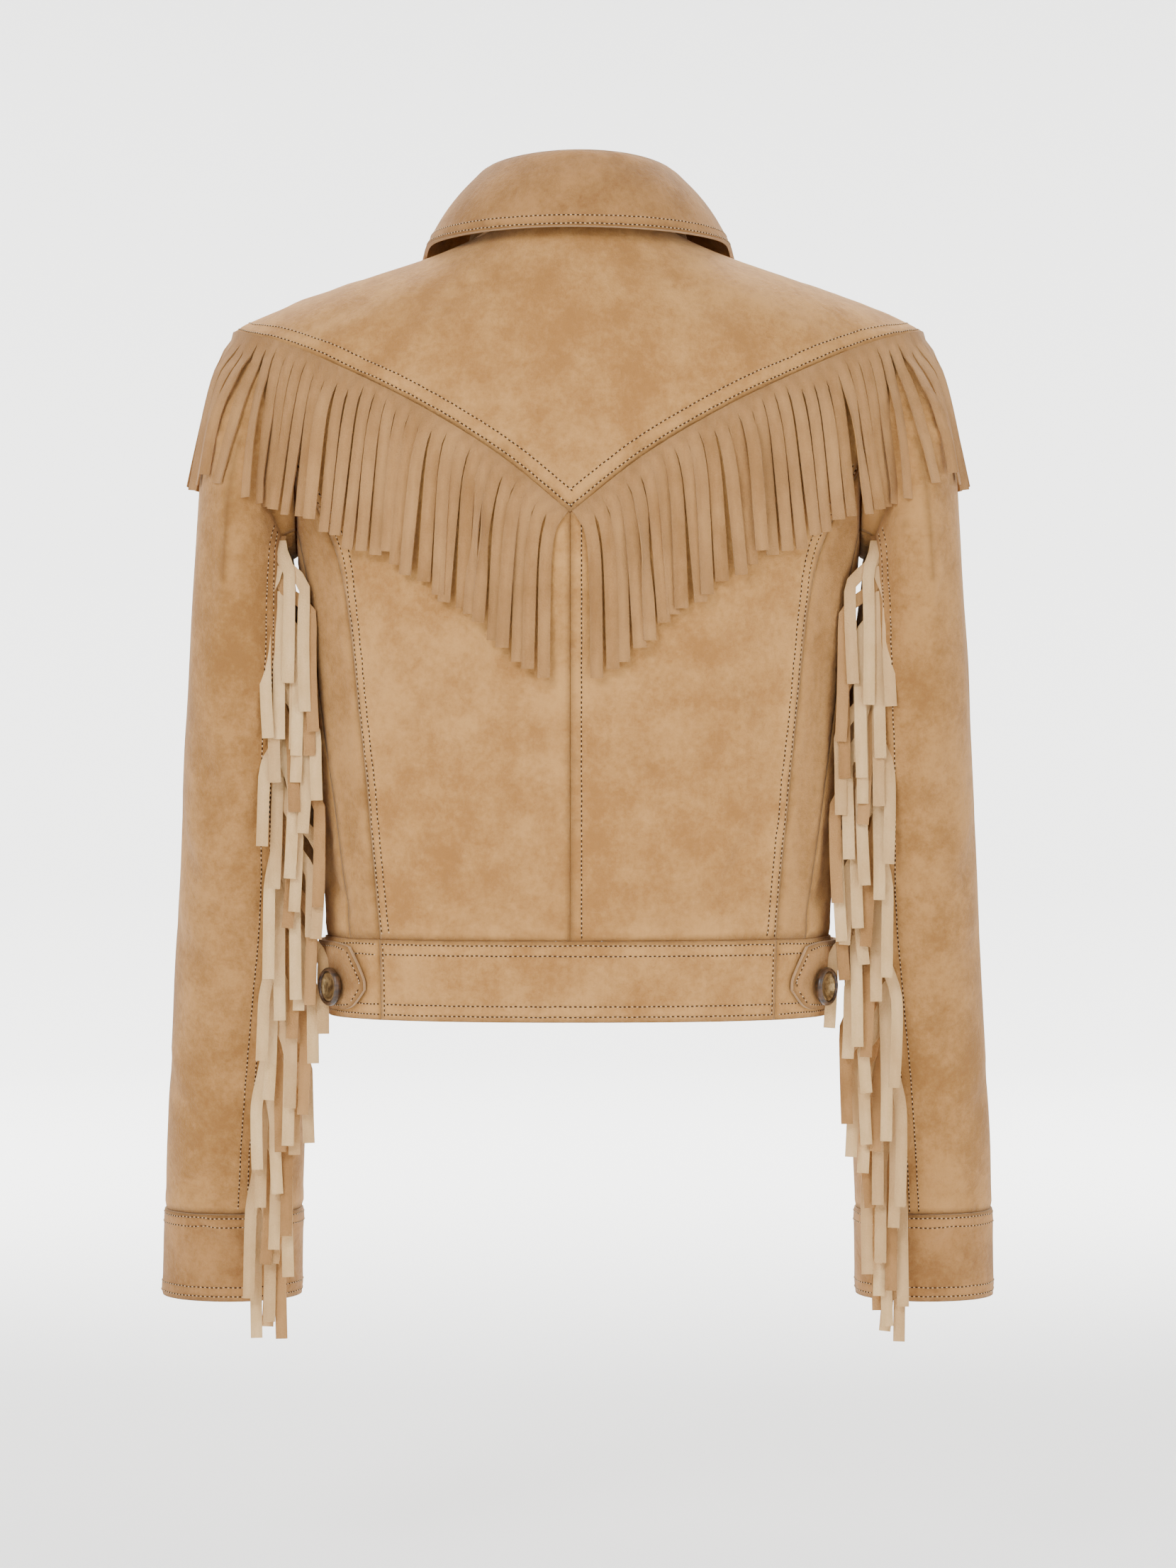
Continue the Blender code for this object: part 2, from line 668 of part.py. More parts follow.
def add_fringe(name, stations, strands, mat):
    """Fringe as one body: a strip along its seam, cut below into square-ended strands."""
    points = [p for station in stations for p in station]
    faces = [(0, 1, 3, 2)]
    last = 4 * (len(stations) - 1)
    faces.append((last, last + 2, last + 3, last + 1))
    for k in range(len(stations) - 1):
        a, b = 4 * k, 4 * k + 4
        faces.append((a, b, b + 1, a + 1))
        faces.append((a + 1, b + 1, b + 3, a + 3))
        faces.append((a, a + 2, b + 2, b))
        if k % 2:
            faces.append((a + 2, a + 3, b + 3, b + 2))
    for i, sections in enumerate(strands):
        a = 8 * i
        ring = (a + 2, a + 6, a + 7, a + 3)
        for section in sections:
            start = len(points)
            points.extend(section)
            new = tuple(range(start, start + 4))
            for q in range(4):
                r = (q + 1) % 4
                faces.append((ring[q], ring[r], new[r], new[q]))
            ring = new
        faces.append(ring)
    thing = add_solid(name, points, faces, mat)
    turn_out(thing.data)
    return thing


def turn_out(mesh):
    """Make the faces agree, pointing out of the solid."""
    work = bmesh.new()
    work.from_mesh(mesh)
    bmesh.ops.recalc_face_normals(work, faces=work.faces)
    if work.calc_volume(signed=True) < 0:
        bmesh.ops.reverse_faces(work, faces=work.faces)
    work.to_mesh(mesh)
    work.free()


def section_of(centre, along_dir, normal, wide, thick, yaw):
    across = along_dir.cross(normal).normalized()
    out = across.cross(along_dir).normalized()
    c, s = math.cos(math.radians(yaw)), math.sin(math.radians(yaw))
    a = across * c + out * s
    o = out * c - across * s
    a, o = a * wide / 2, o * thick / 2
    return [centre - a - o, centre + a - o, centre + a + o, centre - a + o]


def yoke_fringe(name, side, front, count, trees):
    """Fringe below one half of a yoke, from the centre out to the shoulder tip."""
    if front:
        first = 180.0 - turn_at_x(PLACKET_HALF + 1.0, 3.0)
    else:
        first = side * turn_at_x(CENTRE_SEAM_X, 6.5) + 0.2
    turns = [first + (90.0 - first) * i / 240.0 for i in range(241)]
    line = [body(side * a, yoke_t(side * a) + 0.004) for a in turns]
    marks = [0.0]
    for a, b in zip(line, line[1:]):
        marks.append(marks[-1] + (b - a).length)
    pitch = (marks[-1] - (34.0 if front else 27.0)) / count
    wide = min(FRINGE_WIDE, pitch - 0.7)

    def place(distance):
        i = max(k for k in range(len(marks)) if marks[k] <= distance or k == 0)
        i = min(i, len(marks) - 2)
        f = (distance - marks[i]) / (marks[i + 1] - marks[i])
        p = line[i].lerp(line[i + 1], f)
        turn = side * (turns[i] + (turns[i + 1] - turns[i]) * f)
        n = edge_normal(turn, yoke_t(turn))
        run = (line[i + 1] - line[i]).normalized()
        down = n.cross(run)
        if down.z > 0:
            down = -down
        return p, n, down.normalized()

    stations, strands = [], []
    for i in range(count):
        middle = 2.0 + pitch * (i + 0.5)
        share = middle / marks[-1]
        ends = []
        for d in (-wide / 2, wide / 2):
            p, n, down = place(middle + d)
            clear = 0.4 + 1.3 * smooth(0.8, 0.92, (middle + d) / marks[-1])
            top = lift_off(p + down * 0.6 + n * 0.4, trees, clear)[0]
            low, n_low = lift_off(p + down * (0.6 + STRIP_TALL), trees, clear)
            if n_low.z == 1.0 or n_low.dot(n) < 0.5:
                n_low = n
            stations.append([top, top + n * FRINGE_THICK, low, low + n_low * FRINGE_THICK])
            ends.append((low + n_low * FRINGE_THICK / 2, down, n_low))
        centre = (ends[0][0] + ends[1][0]) / 2
        start = ((ends[0][1] + ends[1][1]) / 2).normalized()
        n = ((ends[0][2] + ends[1][2]) / 2).normalized()
        across = (ends[1][0] - ends[0][0]).normalized()
        flip = 1.0 if start.cross(n).dot(across) > 0 else -1.0
        lean = 4.0 + 14.0 * share ** 1.3 + 0.5 * math.sin(1.1 * i)
        lean -= 6.0 * (1.0 - smooth(0.0, 0.16, share))
        sway = math.sin(math.radians(lean)) * side
        down = Vector((sway, 0.0, -math.cos(math.radians(lean))))
        length = 104.0 + 5.0 * math.sin(2.3 * i) + 4.0 * math.sin(0.9 * i + 1.0)
        parts = (9.0, 20.0, 0.5 * (length - 35.0), 0.5 * (length - 35.0))
        sections, gone = [], 0.0
        before = [stations[-2][2], stations[-1][2], stations[-1][3], stations[-2][3]]
        for part in parts:
            gone += part
            ease = smooth(0.0, 16.0 + 18.0 * smooth(0.02, 0.2, share), gone)
            go = start.lerp(down, ease).normalized()
            if (centre + go * part).z > -140.0 or ease < 1.0:
                go = (go - n * go.dot(n) * (1.0 - 0.35 * ease)).normalized()
            clear = 0.9 + 1.5 * smooth(0.0, 22.0, gone) + 1.0 * smooth(0.6, 1.0, share)
            centre, near = lift_off(centre + go * part, trees, clear)
            if near.z != 1.0:
                n = (n * 0.55 + near * 0.45).normalized()
            section = section_of(centre, go, n, wide, FRINGE_THICK, -flip * 15.0 * ease)
            if flip < 0:
                section = [section[1], section[0], section[3], section[2]]
            push = n * short_of(section, before, trees, 0.5 + 0.9 * smooth(0.5, 0.8, share))
            centre = centre + push
            section = [p + push for p in section]
            before = section
            sections.append(section)
        strands.append(sections)
    return add_fringe(name, stations, strands, suede(name, FRINGE_TAN))


def sleeve_fringe(name, side, count):
    """Fringe down the hind-arm seam; each strand lies over the ones sewn in below it."""
    steps = 400
    ks = [0.2 + (CUFF_TOP_K - 0.35) * i / steps for i in range(steps + 1)]
    line = [sleeve(float(HIND_COLUMN), k) for k in ks]
    marks = [0.0]
    for a, b in zip(line, line[1:]):
        marks.append(marks[-1] + (b - a).length)

    def k_at(distance):
        if distance >= marks[-1]:
            return ks[-1] + (distance - marks[-1]) * 0.0286
        i = max(k for k in range(len(marks)) if marks[k] <= distance or k == 0)
        i = min(i, len(marks) - 2)
        return ks[i] + (ks[i + 1] - ks[i]) * (distance - marks[i]) / (marks[i + 1] - marks[i])

    back = Vector((0.0, 1.0, 0.0))

    def spot(distance, aside, depth):
        p = sleeve(float(HIND_COLUMN), min(k_at(distance), 15.9))
        return p + Vector((-aside, depth, 0.0))

    pitch = (marks[-1] - 16.0) / count
    wide = FRINGE_WIDE
    flip = Vector((side, 1.0, 1.0))
    stations, strands = [], []
    for i in range(count):
        middle = 8.0 + pitch * (i + 0.5)
        for d in (-wide / 2, wide / 2):
            high = spot(middle + d, 0.4, 0.5)
            low = spot(middle + d, 4.0, 0.5)
            stations.append([high, high + back * FRINGE_THICK, low, low + back * FRINGE_THICK])
        swing = 11.0 + 2.4 * math.sin(0.55 * i) + 0.8 * math.sin(1.31 * i + 0.6)
        lean = 4.5 + 5.5 * math.sin(0.7 * i + 0.4)
        length = 88.0 + 8.0 * math.sin(1.9 * i) + 4.0 * math.sin(0.8 * i)
        places = []
        for gone in (0.0, 7.0, 18.0, 0.5 * (length + 18.0), length):
            bend = min(gone / (1.5708 * swing), 1.0)
            aside = swing * math.sin(1.5708 * bend)
            drop = swing * (1.0 - math.cos(1.5708 * bend))
            extra = max(gone - 1.5708 * swing, 0.0)
            aside += extra * math.sin(math.radians(lean))
            drop += extra * math.cos(math.radians(lean))
            places.append(spot(middle + drop, 4.0 + aside, 0.95 + 0.14 * gone))
        sections = []
        for j in range(1, len(places)):
            ahead = places[min(j + 1, len(places) - 1)]
            go = (ahead - places[j - 1]).normalized()
            sections.append(section_of(places[j], go, back, wide, FRINGE_THICK - 0.1, 0.0))
        strands.append(sections)
    for group in stations:
        group[:] = [p * flip for p in group]
    for sections in strands:
        sections[:] = [[p * flip for p in section] for section in sections]
    fix_order(stations, strands)
    return add_fringe(name, stations, strands, suede(name, FRINGE_TAN))


def fix_order(stations, strands):
    """Pair the corners of each strand's first section with the nearest corners of its root."""
    for i, sections in enumerate(strands):
        root = [stations[2 * i][2], stations[2 * i + 1][2], stations[2 * i + 1][3],
                stations[2 * i][3]]
        orders = ((0, 1, 2, 3), (1, 0, 3, 2), (3, 2, 1, 0), (2, 3, 0, 1))
        best = min(orders, key=lambda o: sum((sections[0][o[q]] - root[q]).length
                                             for q in range(4)))
        sections[:] = [[section[q] for q in best] for section in sections]


def main():
    for thing in list(bpy.data.objects):
        bpy.data.objects.remove(thing, do_unlink=True)
    make_body()
    make_sleeves()
    make_collar()
    make_bands()
    make_buttons()
    trunk = form_tree(body, [4.0 * i for i in range(-45, 46)], [0.25 * j for j in range(49)])
    us, vs = [0.5 * i for i in range(33)], [0.25 * j for j in range(61)]
    trees = [(trunk, 0.0)]
    trees.append((form_tree(sleeve, us, vs), 208.0))
    trees.append((form_tree(mirror_x(sleeve), us, vs), -208.0))
    for side, label in ((1, "left"), (-1, "right")):
        yoke_fringe("back_fringe_" + label, side, False, 31, trees)
        yoke_fringe("front_fringe_" + label, side, True, 22, trees)
        sleeve_fringe("sleeve_fringe_" + label, side, 38)


main()
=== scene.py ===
# %% [markdown]
# This lesson dresses a cropped suede jacket with a pointed yoke and cut fringe. The plain walls
# of the jacket are already there, one solid for each sewn piece. Each is copied, smoothed and
# given folds, stitches and nap, because suede is judged by its soft surface and its sewing.

# %% Load the plain jacket
import math
import bmesh
import bpy
import numpy as np
from mathutils import Matrix, Vector, noise
from mathutils.bvhtree import BVHTree
from mathutils.kdtree import KDTree


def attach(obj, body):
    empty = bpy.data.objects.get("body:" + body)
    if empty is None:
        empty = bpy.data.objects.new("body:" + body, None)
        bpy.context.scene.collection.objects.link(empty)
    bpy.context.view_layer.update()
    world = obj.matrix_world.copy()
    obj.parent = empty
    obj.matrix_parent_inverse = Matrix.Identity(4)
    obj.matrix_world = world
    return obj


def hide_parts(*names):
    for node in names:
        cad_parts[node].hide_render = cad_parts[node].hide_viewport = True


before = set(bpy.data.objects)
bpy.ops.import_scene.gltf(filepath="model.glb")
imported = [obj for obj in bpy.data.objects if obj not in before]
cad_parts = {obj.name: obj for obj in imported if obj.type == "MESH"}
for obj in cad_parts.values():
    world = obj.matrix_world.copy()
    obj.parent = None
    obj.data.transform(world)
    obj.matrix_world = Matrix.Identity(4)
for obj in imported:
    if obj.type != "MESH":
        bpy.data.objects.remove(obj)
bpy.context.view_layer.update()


def in_scene(name, data):
    """New object with its data, linked to the scene."""
    thing = bpy.data.objects.new(name, data)
    bpy.context.scene.collection.objects.link(thing)
    return thing


def mesh_of(cells, name):
    """New mesh from a bmesh, which is freed."""
    mesh = bpy.data.meshes.new(name)
    cells.to_mesh(mesh)
    cells.free()
    return mesh


def applied(thing):
    """New mesh of an object with its modifier applied; the object is removed."""
    shaped = thing.evaluated_get(bpy.context.evaluated_depsgraph_get())
    result = bpy.data.meshes.new_from_object(shaped)
    bpy.data.objects.remove(thing)
    return result


# %% [markdown]
# The photograph looks straight at the back from about two metres, near the middle line.
# A longer lens keeps the sleeves from spreading. The camera is placed first, so every later
# piece can be looked at in the same view.

# %% Camera at the photograph's place
SENSOR_HEIGHT = 36.0
FOCAL_PIXELS = 4994.0
PHOTO_HEIGHT = 2212.0
camera_data = bpy.data.cameras.new("back_view")
camera_data.sensor_fit = "VERTICAL"
camera_data.sensor_height = SENSOR_HEIGHT
camera_data.lens = SENSOR_HEIGHT * FOCAL_PIXELS / PHOTO_HEIGHT
camera_data.clip_end = 60.0
camera = in_scene("back_view", camera_data)
camera.location = (-0.006, 2.2, -0.332)
camera.rotation_euler = (math.radians(90.0), 0.0, math.radians(180.0))
bpy.context.scene.camera = camera
print("lens", round(camera_data.lens, 1), "mm")

# %% [markdown]
# A seamless pale sweep is a floor that turns up into walls with no line between them. Here one
# short profile is spun round the jacket, so every side of it has the same quiet ground.

# %% Floor that rises into a pale sweep
FLOOR_Z = -0.84
sweep_mesh = bmesh.new()
profile = [sweep_mesh.verts.new((r, 0.0, FLOOR_Z + h)) for r, h in
           ((0.02, 0.0), (2.5, 0.0), (4.0, 0.02), (5.2, 0.3), (6.0, 1.0), (6.5, 2.2), (6.8, 5.0))]
for a, b in zip(profile, profile[1:]):
    sweep_mesh.edges.new((a, b))
bmesh.ops.spin(sweep_mesh, geom=sweep_mesh.verts[:] + sweep_mesh.edges[:], cent=(0, 0, 0),
               axis=(0, 0, 1), angle=2 * math.pi, steps=64, use_merge=True)
bmesh.ops.contextual_create(sweep_mesh, geom=[e for e in sweep_mesh.edges
                                              if e.is_boundary and e.verts[0].co.xy.length < 0.1])
bmesh.ops.recalc_face_normals(sweep_mesh, faces=sweep_mesh.faces)
sweep_data = mesh_of(sweep_mesh, "pale_sweep")
sweep_data.shade_smooth()
in_scene("pale_sweep", sweep_data)
sweep_paint = bpy.data.materials.new("pale_ground")
sweep_paint.use_nodes = True
ground = sweep_paint.node_tree.nodes["Principled BSDF"]
ground.inputs["Base Color"].default_value = (0.93, 0.93, 0.92, 1.0)
ground.inputs["Roughness"].default_value = 0.95
sweep_data.materials.append(sweep_paint)
print("sweep", len(sweep_data.polygons), "faces")

# %% [markdown]
# Suede shows its nap under wide, soft light. One lamp stands high beside the camera, a weaker
# one fills the right and another the front. Three more light the sweep alone, so the ground
# stays pale, and a white sky lifts the shadows, as in a studio tent.

# %% Soft studio light


def soft_lamp(name, place, target, wide, power):
    lamp = bpy.data.lights.new(name, "AREA")
    lamp.shape = "RECTANGLE"
    lamp.size = wide
    lamp.size_y = wide
    lamp.energy = power
    thing = in_scene(name, lamp)
    thing.location = place
    thing.rotation_euler = (Vector(target) - Vector(place)).to_track_quat("-Z", "Y").to_euler()


soft_lamp("key_over_camera", (1.3, 2.6, 1.4), (0, 0, -0.3), 1.2, 63.0)
soft_lamp("fill_right", (-2.2, 2.2, 0.2), (0, 0, -0.3), 1.6, 22.0)
soft_lamp("front_wash", (-0.6, -2.8, 1.6), (0, 0, -0.3), 2.0, 8.0)
soft_lamp("backdrop_left", (2.2, -1.6, 1.2), (1.6, -6.5, -0.2), 1.6, 300.0)
soft_lamp("backdrop_right", (-2.2, -1.6, 1.2), (-1.6, -6.5, -0.2), 1.6, 300.0)
soft_lamp("floor_wash", (0.0, -2.2, 3.0), (0.0, -1.6, -0.84), 1.6, 290.0)
sky = bpy.data.worlds.new("pale_sky")
sky.use_nodes = True
sky.node_tree.nodes["Background"].inputs["Color"].default_value = (1.0, 1.0, 1.0, 1.0)
sky.node_tree.nodes["Background"].inputs["Strength"].default_value = 0.55
bpy.context.scene.world = sky

# %% [markdown]
# Node graphs read better as arithmetic. This small class wraps one socket, so that adding or
# multiplying two of them adds the Math node that does it. Colours go through Mix instead,
# because a Math node turns a colour grey.

# %% Shader arithmetic


class Value:
    """One socket of a node graph, with the usual operators."""

    def __init__(self, graph, socket):
        self.graph = graph
        self.socket = socket

    def math(self, operation, other):
        return self.graph.node("ShaderNodeMath", {"operation": operation}, {0: self, 1: other})

    def __add__(self, other):
        return self.math("ADD", other)

    def __mul__(self, other):
        return self.math("MULTIPLY", other)

    def between(self, low, high):
        """0 at low, 1 at high, smooth between."""
        settings = {"interpolation_type": "SMOOTHSTEP"}
        return self.graph.node("ShaderNodeMapRange", settings, {0: self, 1: low, 2: high})


class Graph:
    """Node graph of one material."""

    def __init__(self, name):
        self.material = bpy.data.materials.new(name)
        self.material.use_nodes = True
        self.nodes = self.material.node_tree.nodes
        self.links = self.material.node_tree.links
        self.shader = self.nodes["Principled BSDF"]
        self.place = self.node("ShaderNodeTexCoord", {}, {}, "Object")

    def node(self, kind, settings, inputs, output=0):
        made = self.nodes.new(kind)
        for key, value in settings.items():
            setattr(made, key, value)
        for key, value in inputs.items():
            self.feed(made.inputs[key], value)
        return Value(self, made.outputs[output])

    def feed(self, socket, value):
        if isinstance(value, Value):
            self.links.new(value.socket, socket)
        else:
            socket.default_value = value

    def surface(self, name, value):
        """Value or plain number for one input of the surface."""
        self.feed(self.shader.inputs[name], value)

    def brushed(self):
        """Soft edge light of upright fibres."""
        self.surface("Sheen Weight", 0.16)
        self.surface("Sheen Tint", (1.0, 0.86, 0.68, 1.0))
        self.surface("Specular IOR Level", 0.18)

    def stretched(self, size):
        """Object place, scaled by a size in each direction."""
        return self.node("ShaderNodeMapping", {}, {"Vector": self.place, "Scale": size})

    def cloud(self, scale, detail=3.0, rough=0.55, place=None):
        inputs = {"Vector": place or self.place, "Scale": scale, "Detail": detail,
                  "Roughness": rough}
        return self.node("ShaderNodeTexNoise", {}, inputs)

    def mix(self, share, first, second):
        inputs = {0: share, 6: first, 7: second}
        return self.node("ShaderNodeMix", {"data_type": "RGBA"}, inputs, 2)

    def painted(self, name):
        """Value painted on the mesh's points."""
        return self.node("ShaderNodeAttribute", {"attribute_name": name}, {}, "Fac")

    def bump(self, height, depth):
        inputs = {"Height": height, "Distance": depth, "Strength": 1.0}
        return self.node("ShaderNodeBump", {}, inputs, "Normal")


print("shader arithmetic ready")

# %% [markdown]
# Suede is leather with its fibres brushed up. Its colour drifts in soft clouds where the nap
# lies one way or another, and a fine grain breaks the light. Two sizes of noise give the clouds,
# two finer ones the grain and a fifth the scuffed spots. Painted values darken the leather at
# its sewing, as wear and as painted shade in the seam's groove, and pale the rubbed welt beside it
# and the raw cut edge.

# %% Suede materials


def toned(colour, share):
    """Colour made paler or darker by a share."""
    return tuple(min(1.0, c * share) for c in colour[:3]) + (1.0,)


def suede(name, pale, deep):
    graph = Graph(name)
    drift = graph.cloud(9.0, 4.0, 0.6)
    patch = graph.cloud(42.0, 4.0, 0.62)
    fleck = graph.cloud(260.0, 3.0, 0.6)
    nap = graph.cloud(900.0, 3.0, 0.7)
    tone = drift * 0.34 + patch * 0.36 + fleck * 0.2 + nap * 0.1
    colour = graph.mix(tone.between(0.39, 0.62), deep, pale)
    scuff = graph.cloud(20.0, 5.0, 0.7).between(0.6, 0.78)
    colour = graph.mix(scuff * 0.35, colour, toned(pale, 1.28))
    rubbed = graph.painted("welt") * patch.between(0.25, 0.7)
    colour = graph.mix(rubbed * 0.5, colour, toned(pale, 1.12))
    # Near the seams, painted shade for the groove, together with wear, darkens the suede.
    seam_shade_and_wear = graph.painted("seam_dark")
    colour = graph.mix(seam_shade_and_wear * 0.4, colour, toned(deep, 0.42))
    raw = graph.painted("raw_edge")
    colour = graph.mix(raw * 0.6, colour, (0.62, 0.42, 0.24, 1.0))
    graph.surface("Base Color", colour)
    rough = patch.between(0.3, 0.7) * 0.1 + 0.84
    graph.surface("Roughness", rough)
    height = nap * 0.5 + fleck * 0.8 + patch * 0.9
    graph.surface("Normal", graph.bump(height, 0.0011))
    graph.surface("Sheen Roughness", 0.5)
    graph.brushed()
    return graph.material


body_suede = suede("body_suede", (0.560, 0.295, 0.100, 1.0), (0.375, 0.175, 0.050, 1.0))
sleeve_suede = suede("sleeve_suede", (0.478, 0.248, 0.085, 1.0), (0.292, 0.136, 0.038, 1.0))
trim_suede = suede("trim_suede", (0.420, 0.213, 0.075, 1.0), (0.258, 0.118, 0.035, 1.0))
print("suedes", body_suede.name, sleeve_suede.name, trim_suede.name)

# %% [markdown]
# Each plain wall is a mesh of loose triangles. A copy is merged and its triangles joined into
# four-sided cells, which a Subdivision Surface smooths well. Its rim edges are creased first, so
# that the cut edge of the leather stays crisp while the face becomes round.

# %% Smooth copies of the plain walls
MM = 0.001
RIM_ANGLE = math.radians(40.0)
CORNER_ANGLE = math.radians(32)
SMOOTH_LEVELS = 3


def merged_copy(node):
    """Plain wall with its triangles merged into cells, and its rim edges creased."""
    cells = bmesh.new()
    cells.from_mesh(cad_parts[node].data)
    bmesh.ops.remove_doubles(cells, verts=cells.verts, dist=0.00002)
    bmesh.ops.join_triangles(cells, faces=cells.faces, angle_face_threshold=math.radians(30),
                             angle_shape_threshold=math.radians(80))
    crease = cells.edges.layers.float.new("crease_edge")
    for edge in cells.edges:
        if len(edge.link_faces) == 2 and edge.calc_face_angle(0.0) > RIM_ANGLE:
            edge[crease] = 1.0
    return cells


def refined(cells, name):
    """New mesh, the cells smoothed by a Subdivision Surface; the cells are freed."""
    mesh = mesh_of(cells, name)
    thing = in_scene(name, mesh)
    smooth = thing.modifiers.new("smooth", "SUBSURF")
    smooth.levels = SMOOTH_LEVELS
    smooth.render_levels = SMOOTH_LEVELS
    result = applied(thing)
    result.name = name
    bpy.data.meshes.remove(mesh)
    return result


def outer_runs(cells):
    """Edges of the outer face as runs between corners: [(places, normals), ...]."""
    cells.faces.ensure_lookup_table()
    seen = set()
    groups = []
    for seed in cells.faces:
        if seed in seen:
            continue
        seen.add(seed)
        group = [seed]
        for face in group:
            for edge in face.edges:
                if edge.calc_face_angle(0.0) > RIM_ANGLE:
                    continue
                for other in edge.link_faces:
                    if other not in seen:
                        seen.add(other)
                        group.append(other)
        groups.append(group)
    groups.sort(key=lambda g: -sum(f.calc_area() for f in g))
    outer = max(groups[:2], key=outwardness)
    inside = set(outer)
    follow = {}
    for face in outer:
        for loop in face.loops:
            if not all(other in inside for other in loop.edge.link_faces):
                follow[loop.vert] = loop.link_loop_next.vert
    runs = []
    while follow:
        start = next(iter(follow))
        ring = [start]
        while follow.get(ring[-1]) not in (None, start):
            ring.append(follow.pop(ring[-1]))
        follow.pop(ring[-1], None)
        places = [v.co.copy() for v in ring]
        normals = [sum((f.normal * f.calc_area() for f in v.link_faces if f in inside),
                       Vector()).normalized() for v in ring]
        count = len(ring)
        corners = [i for i in range(count)
                   if (places[i] - places[i - 1]).angle(places[(i + 1) % count] - places[i], 0)
                   > CORNER_ANGLE]
        if not corners:
            runs.append((places + places[:1], normals + normals[:1]))
            continue
        for a, b in zip(corners, corners[1:] + [corners[0] + count]):
            picks = [i % count for i in range(a, b + 1)]
            runs.append(([places[i] for i in picks], [normals[i] for i in picks]))
    return runs, sum(f.calc_area() for f in outer)


# %% [markdown]
# A fold has to push the outer and the inner side of the leather the same way, or the wall would
# swell. So every point gets one outward direction, from the middle line of the body or of the
# sleeve it belongs to, and folds and seams move both sides along it.

# %% Outward directions
# Middle line of the left sleeve from cuff to shoulder: height, distance out and distance back.
SLEEVE_LINE = ((-0.660, 0.2187, -0.043), (-0.599, 0.2174, -0.038), (-0.470, 0.214, -0.018),
               (-0.330, 0.207, 0.0), (-0.194, 0.199, 0.0), (-0.066, 0.199, 0.0))
BODY_WIDE, BODY_DEEP = 0.17, 0.105


def outward_of(places, part):
    """Outward directions for an array of places on the body or on a sleeve."""
    x, y, z = places[:, 0], places[:, 1], places[:, 2]
    if part == "body":
        upward = np.clip((z + 0.12) * 9, 0, 1) * 30.0
        way = np.stack([x / BODY_WIDE ** 2 * 0.6, y / BODY_DEEP ** 2 * 0.6, upward], axis=1)
    else:
        heights, out_x, back_y = np.array(SLEEVE_LINE).T
        way = np.stack([(np.abs(x) - np.interp(z, heights, out_x)) * np.sign(x),
                        y - np.interp(z, heights, back_y), 0 * z], axis=1)
    return way / np.maximum(np.linalg.norm(way, axis=1, keepdims=True), 1e-9)


def outwardness(group):
    """How far a group of faces looks away from the middle of its own part."""
    whole = sum(f.calc_area() for f in group)
    middle = sum((f.calc_center_median() * f.calc_area() for f in group), Vector()) / whole
    part = "sleeve" if abs(middle.x) > 0.165 and middle.z < -0.09 else "body"
    total = 0.0
    for face in group:
        centre = face.calc_center_median()
        way = outward_of(np.array([centre[:]]), part)[0]
        total += face.calc_area() * face.normal.dot(Vector(way))
    return total / whole


print("outward at the left sleeve", outward_of(np.array([[0.25, 0.0, -0.3]]), "sleeve")[0])

# %% [markdown]
# Folds are laid one by one, each from one place to another with its own width and depth. A fold is
# a soft trough with a low ridge beside it, fading at both ends, as in thick leather that bends
# rather than wrinkles. On the photograph they gather above the waistband and at the elbows.

# %% Folds one by one
FOLD_STRENGTH = 1.5
FOLD_RIDGE = 0.6
FOLD_STEPS = 14


def bell(distance, reach):
    """1 at no distance, fading smoothly to 0 beyond the reach."""
    return np.exp(-(distance / reach) ** 2)


class Fold:
    """Soft trough with a ridge beside it, from one place on the leather to another."""

    def __init__(self, start, end, width, depth, bend):
        self.start, self.end = Vector(start) * MM, Vector(end) * MM
        self.width, self.depth = width * MM, depth * FOLD_STRENGTH * MM
        self.bend = bend * MM

    def line(self, surface):
        """Middle of the trough, laid on the surface."""
        places = []
        for i in range(FOLD_STEPS + 1):
            t = i / FOLD_STEPS
            place = self.start.lerp(self.end, t)
            across = (self.end - self.start).cross(Vector((0, 1, 0))).normalized()
            place += across * self.bend * math.sin(math.pi * t)
            places.append(surface.find_nearest(place)[0])
        return np.array([p[:] for p in places])

    def push(self, places, surface, outward):
        """Distance to push each place outward."""
        line = self.line(surface)
        reach = self.width * 3.2
        near = np.all((places > line.min(0) - reach) & (places < line.max(0) + reach), axis=1)
        result = np.zeros(len(places))
        if not near.any():
            return result
        chosen = places[near]
        best = np.full(len(chosen), 1e9)
        side = np.zeros(len(chosen))
        along = np.zeros(len(chosen))
        for i, (a, b) in enumerate(zip(line, line[1:])):
            run = b - a
            size = run @ run
            if size < 1e-12:
                continue
            t = np.clip((chosen - a) @ run / size, 0, 1)
            off = chosen - (a + t[:, None] * run)
            distance = np.linalg.norm(off, axis=1)
            turn = np.einsum("ij,ij->i", np.cross(np.tile(run, (len(chosen), 1)), off),
                             outward[near])
            closer = distance < best
            best = np.where(closer, distance, best)
            side = np.where(closer, np.sign(turn), side)
            along = np.where(closer, (i + t) / FOLD_STEPS, along)
        q = side * best / self.width
        trough = -bell(q, 0.8)
        ridge = FOLD_RIDGE * bell(q - 1.35, 0.85)
        fade = np.sin(np.pi * np.clip(along, 0.0, 1.0)) ** 0.7
        ends = bell(np.maximum(best - self.width * 2.2, 0), self.width)
        result[near] = self.depth * (trough + ridge) * fade * ends
        return result


def folds_of(rows):
    """Folds of a table with columns start, end, width, depth and bend, in millimetres."""
    return [Fold(*row) for row in rows]


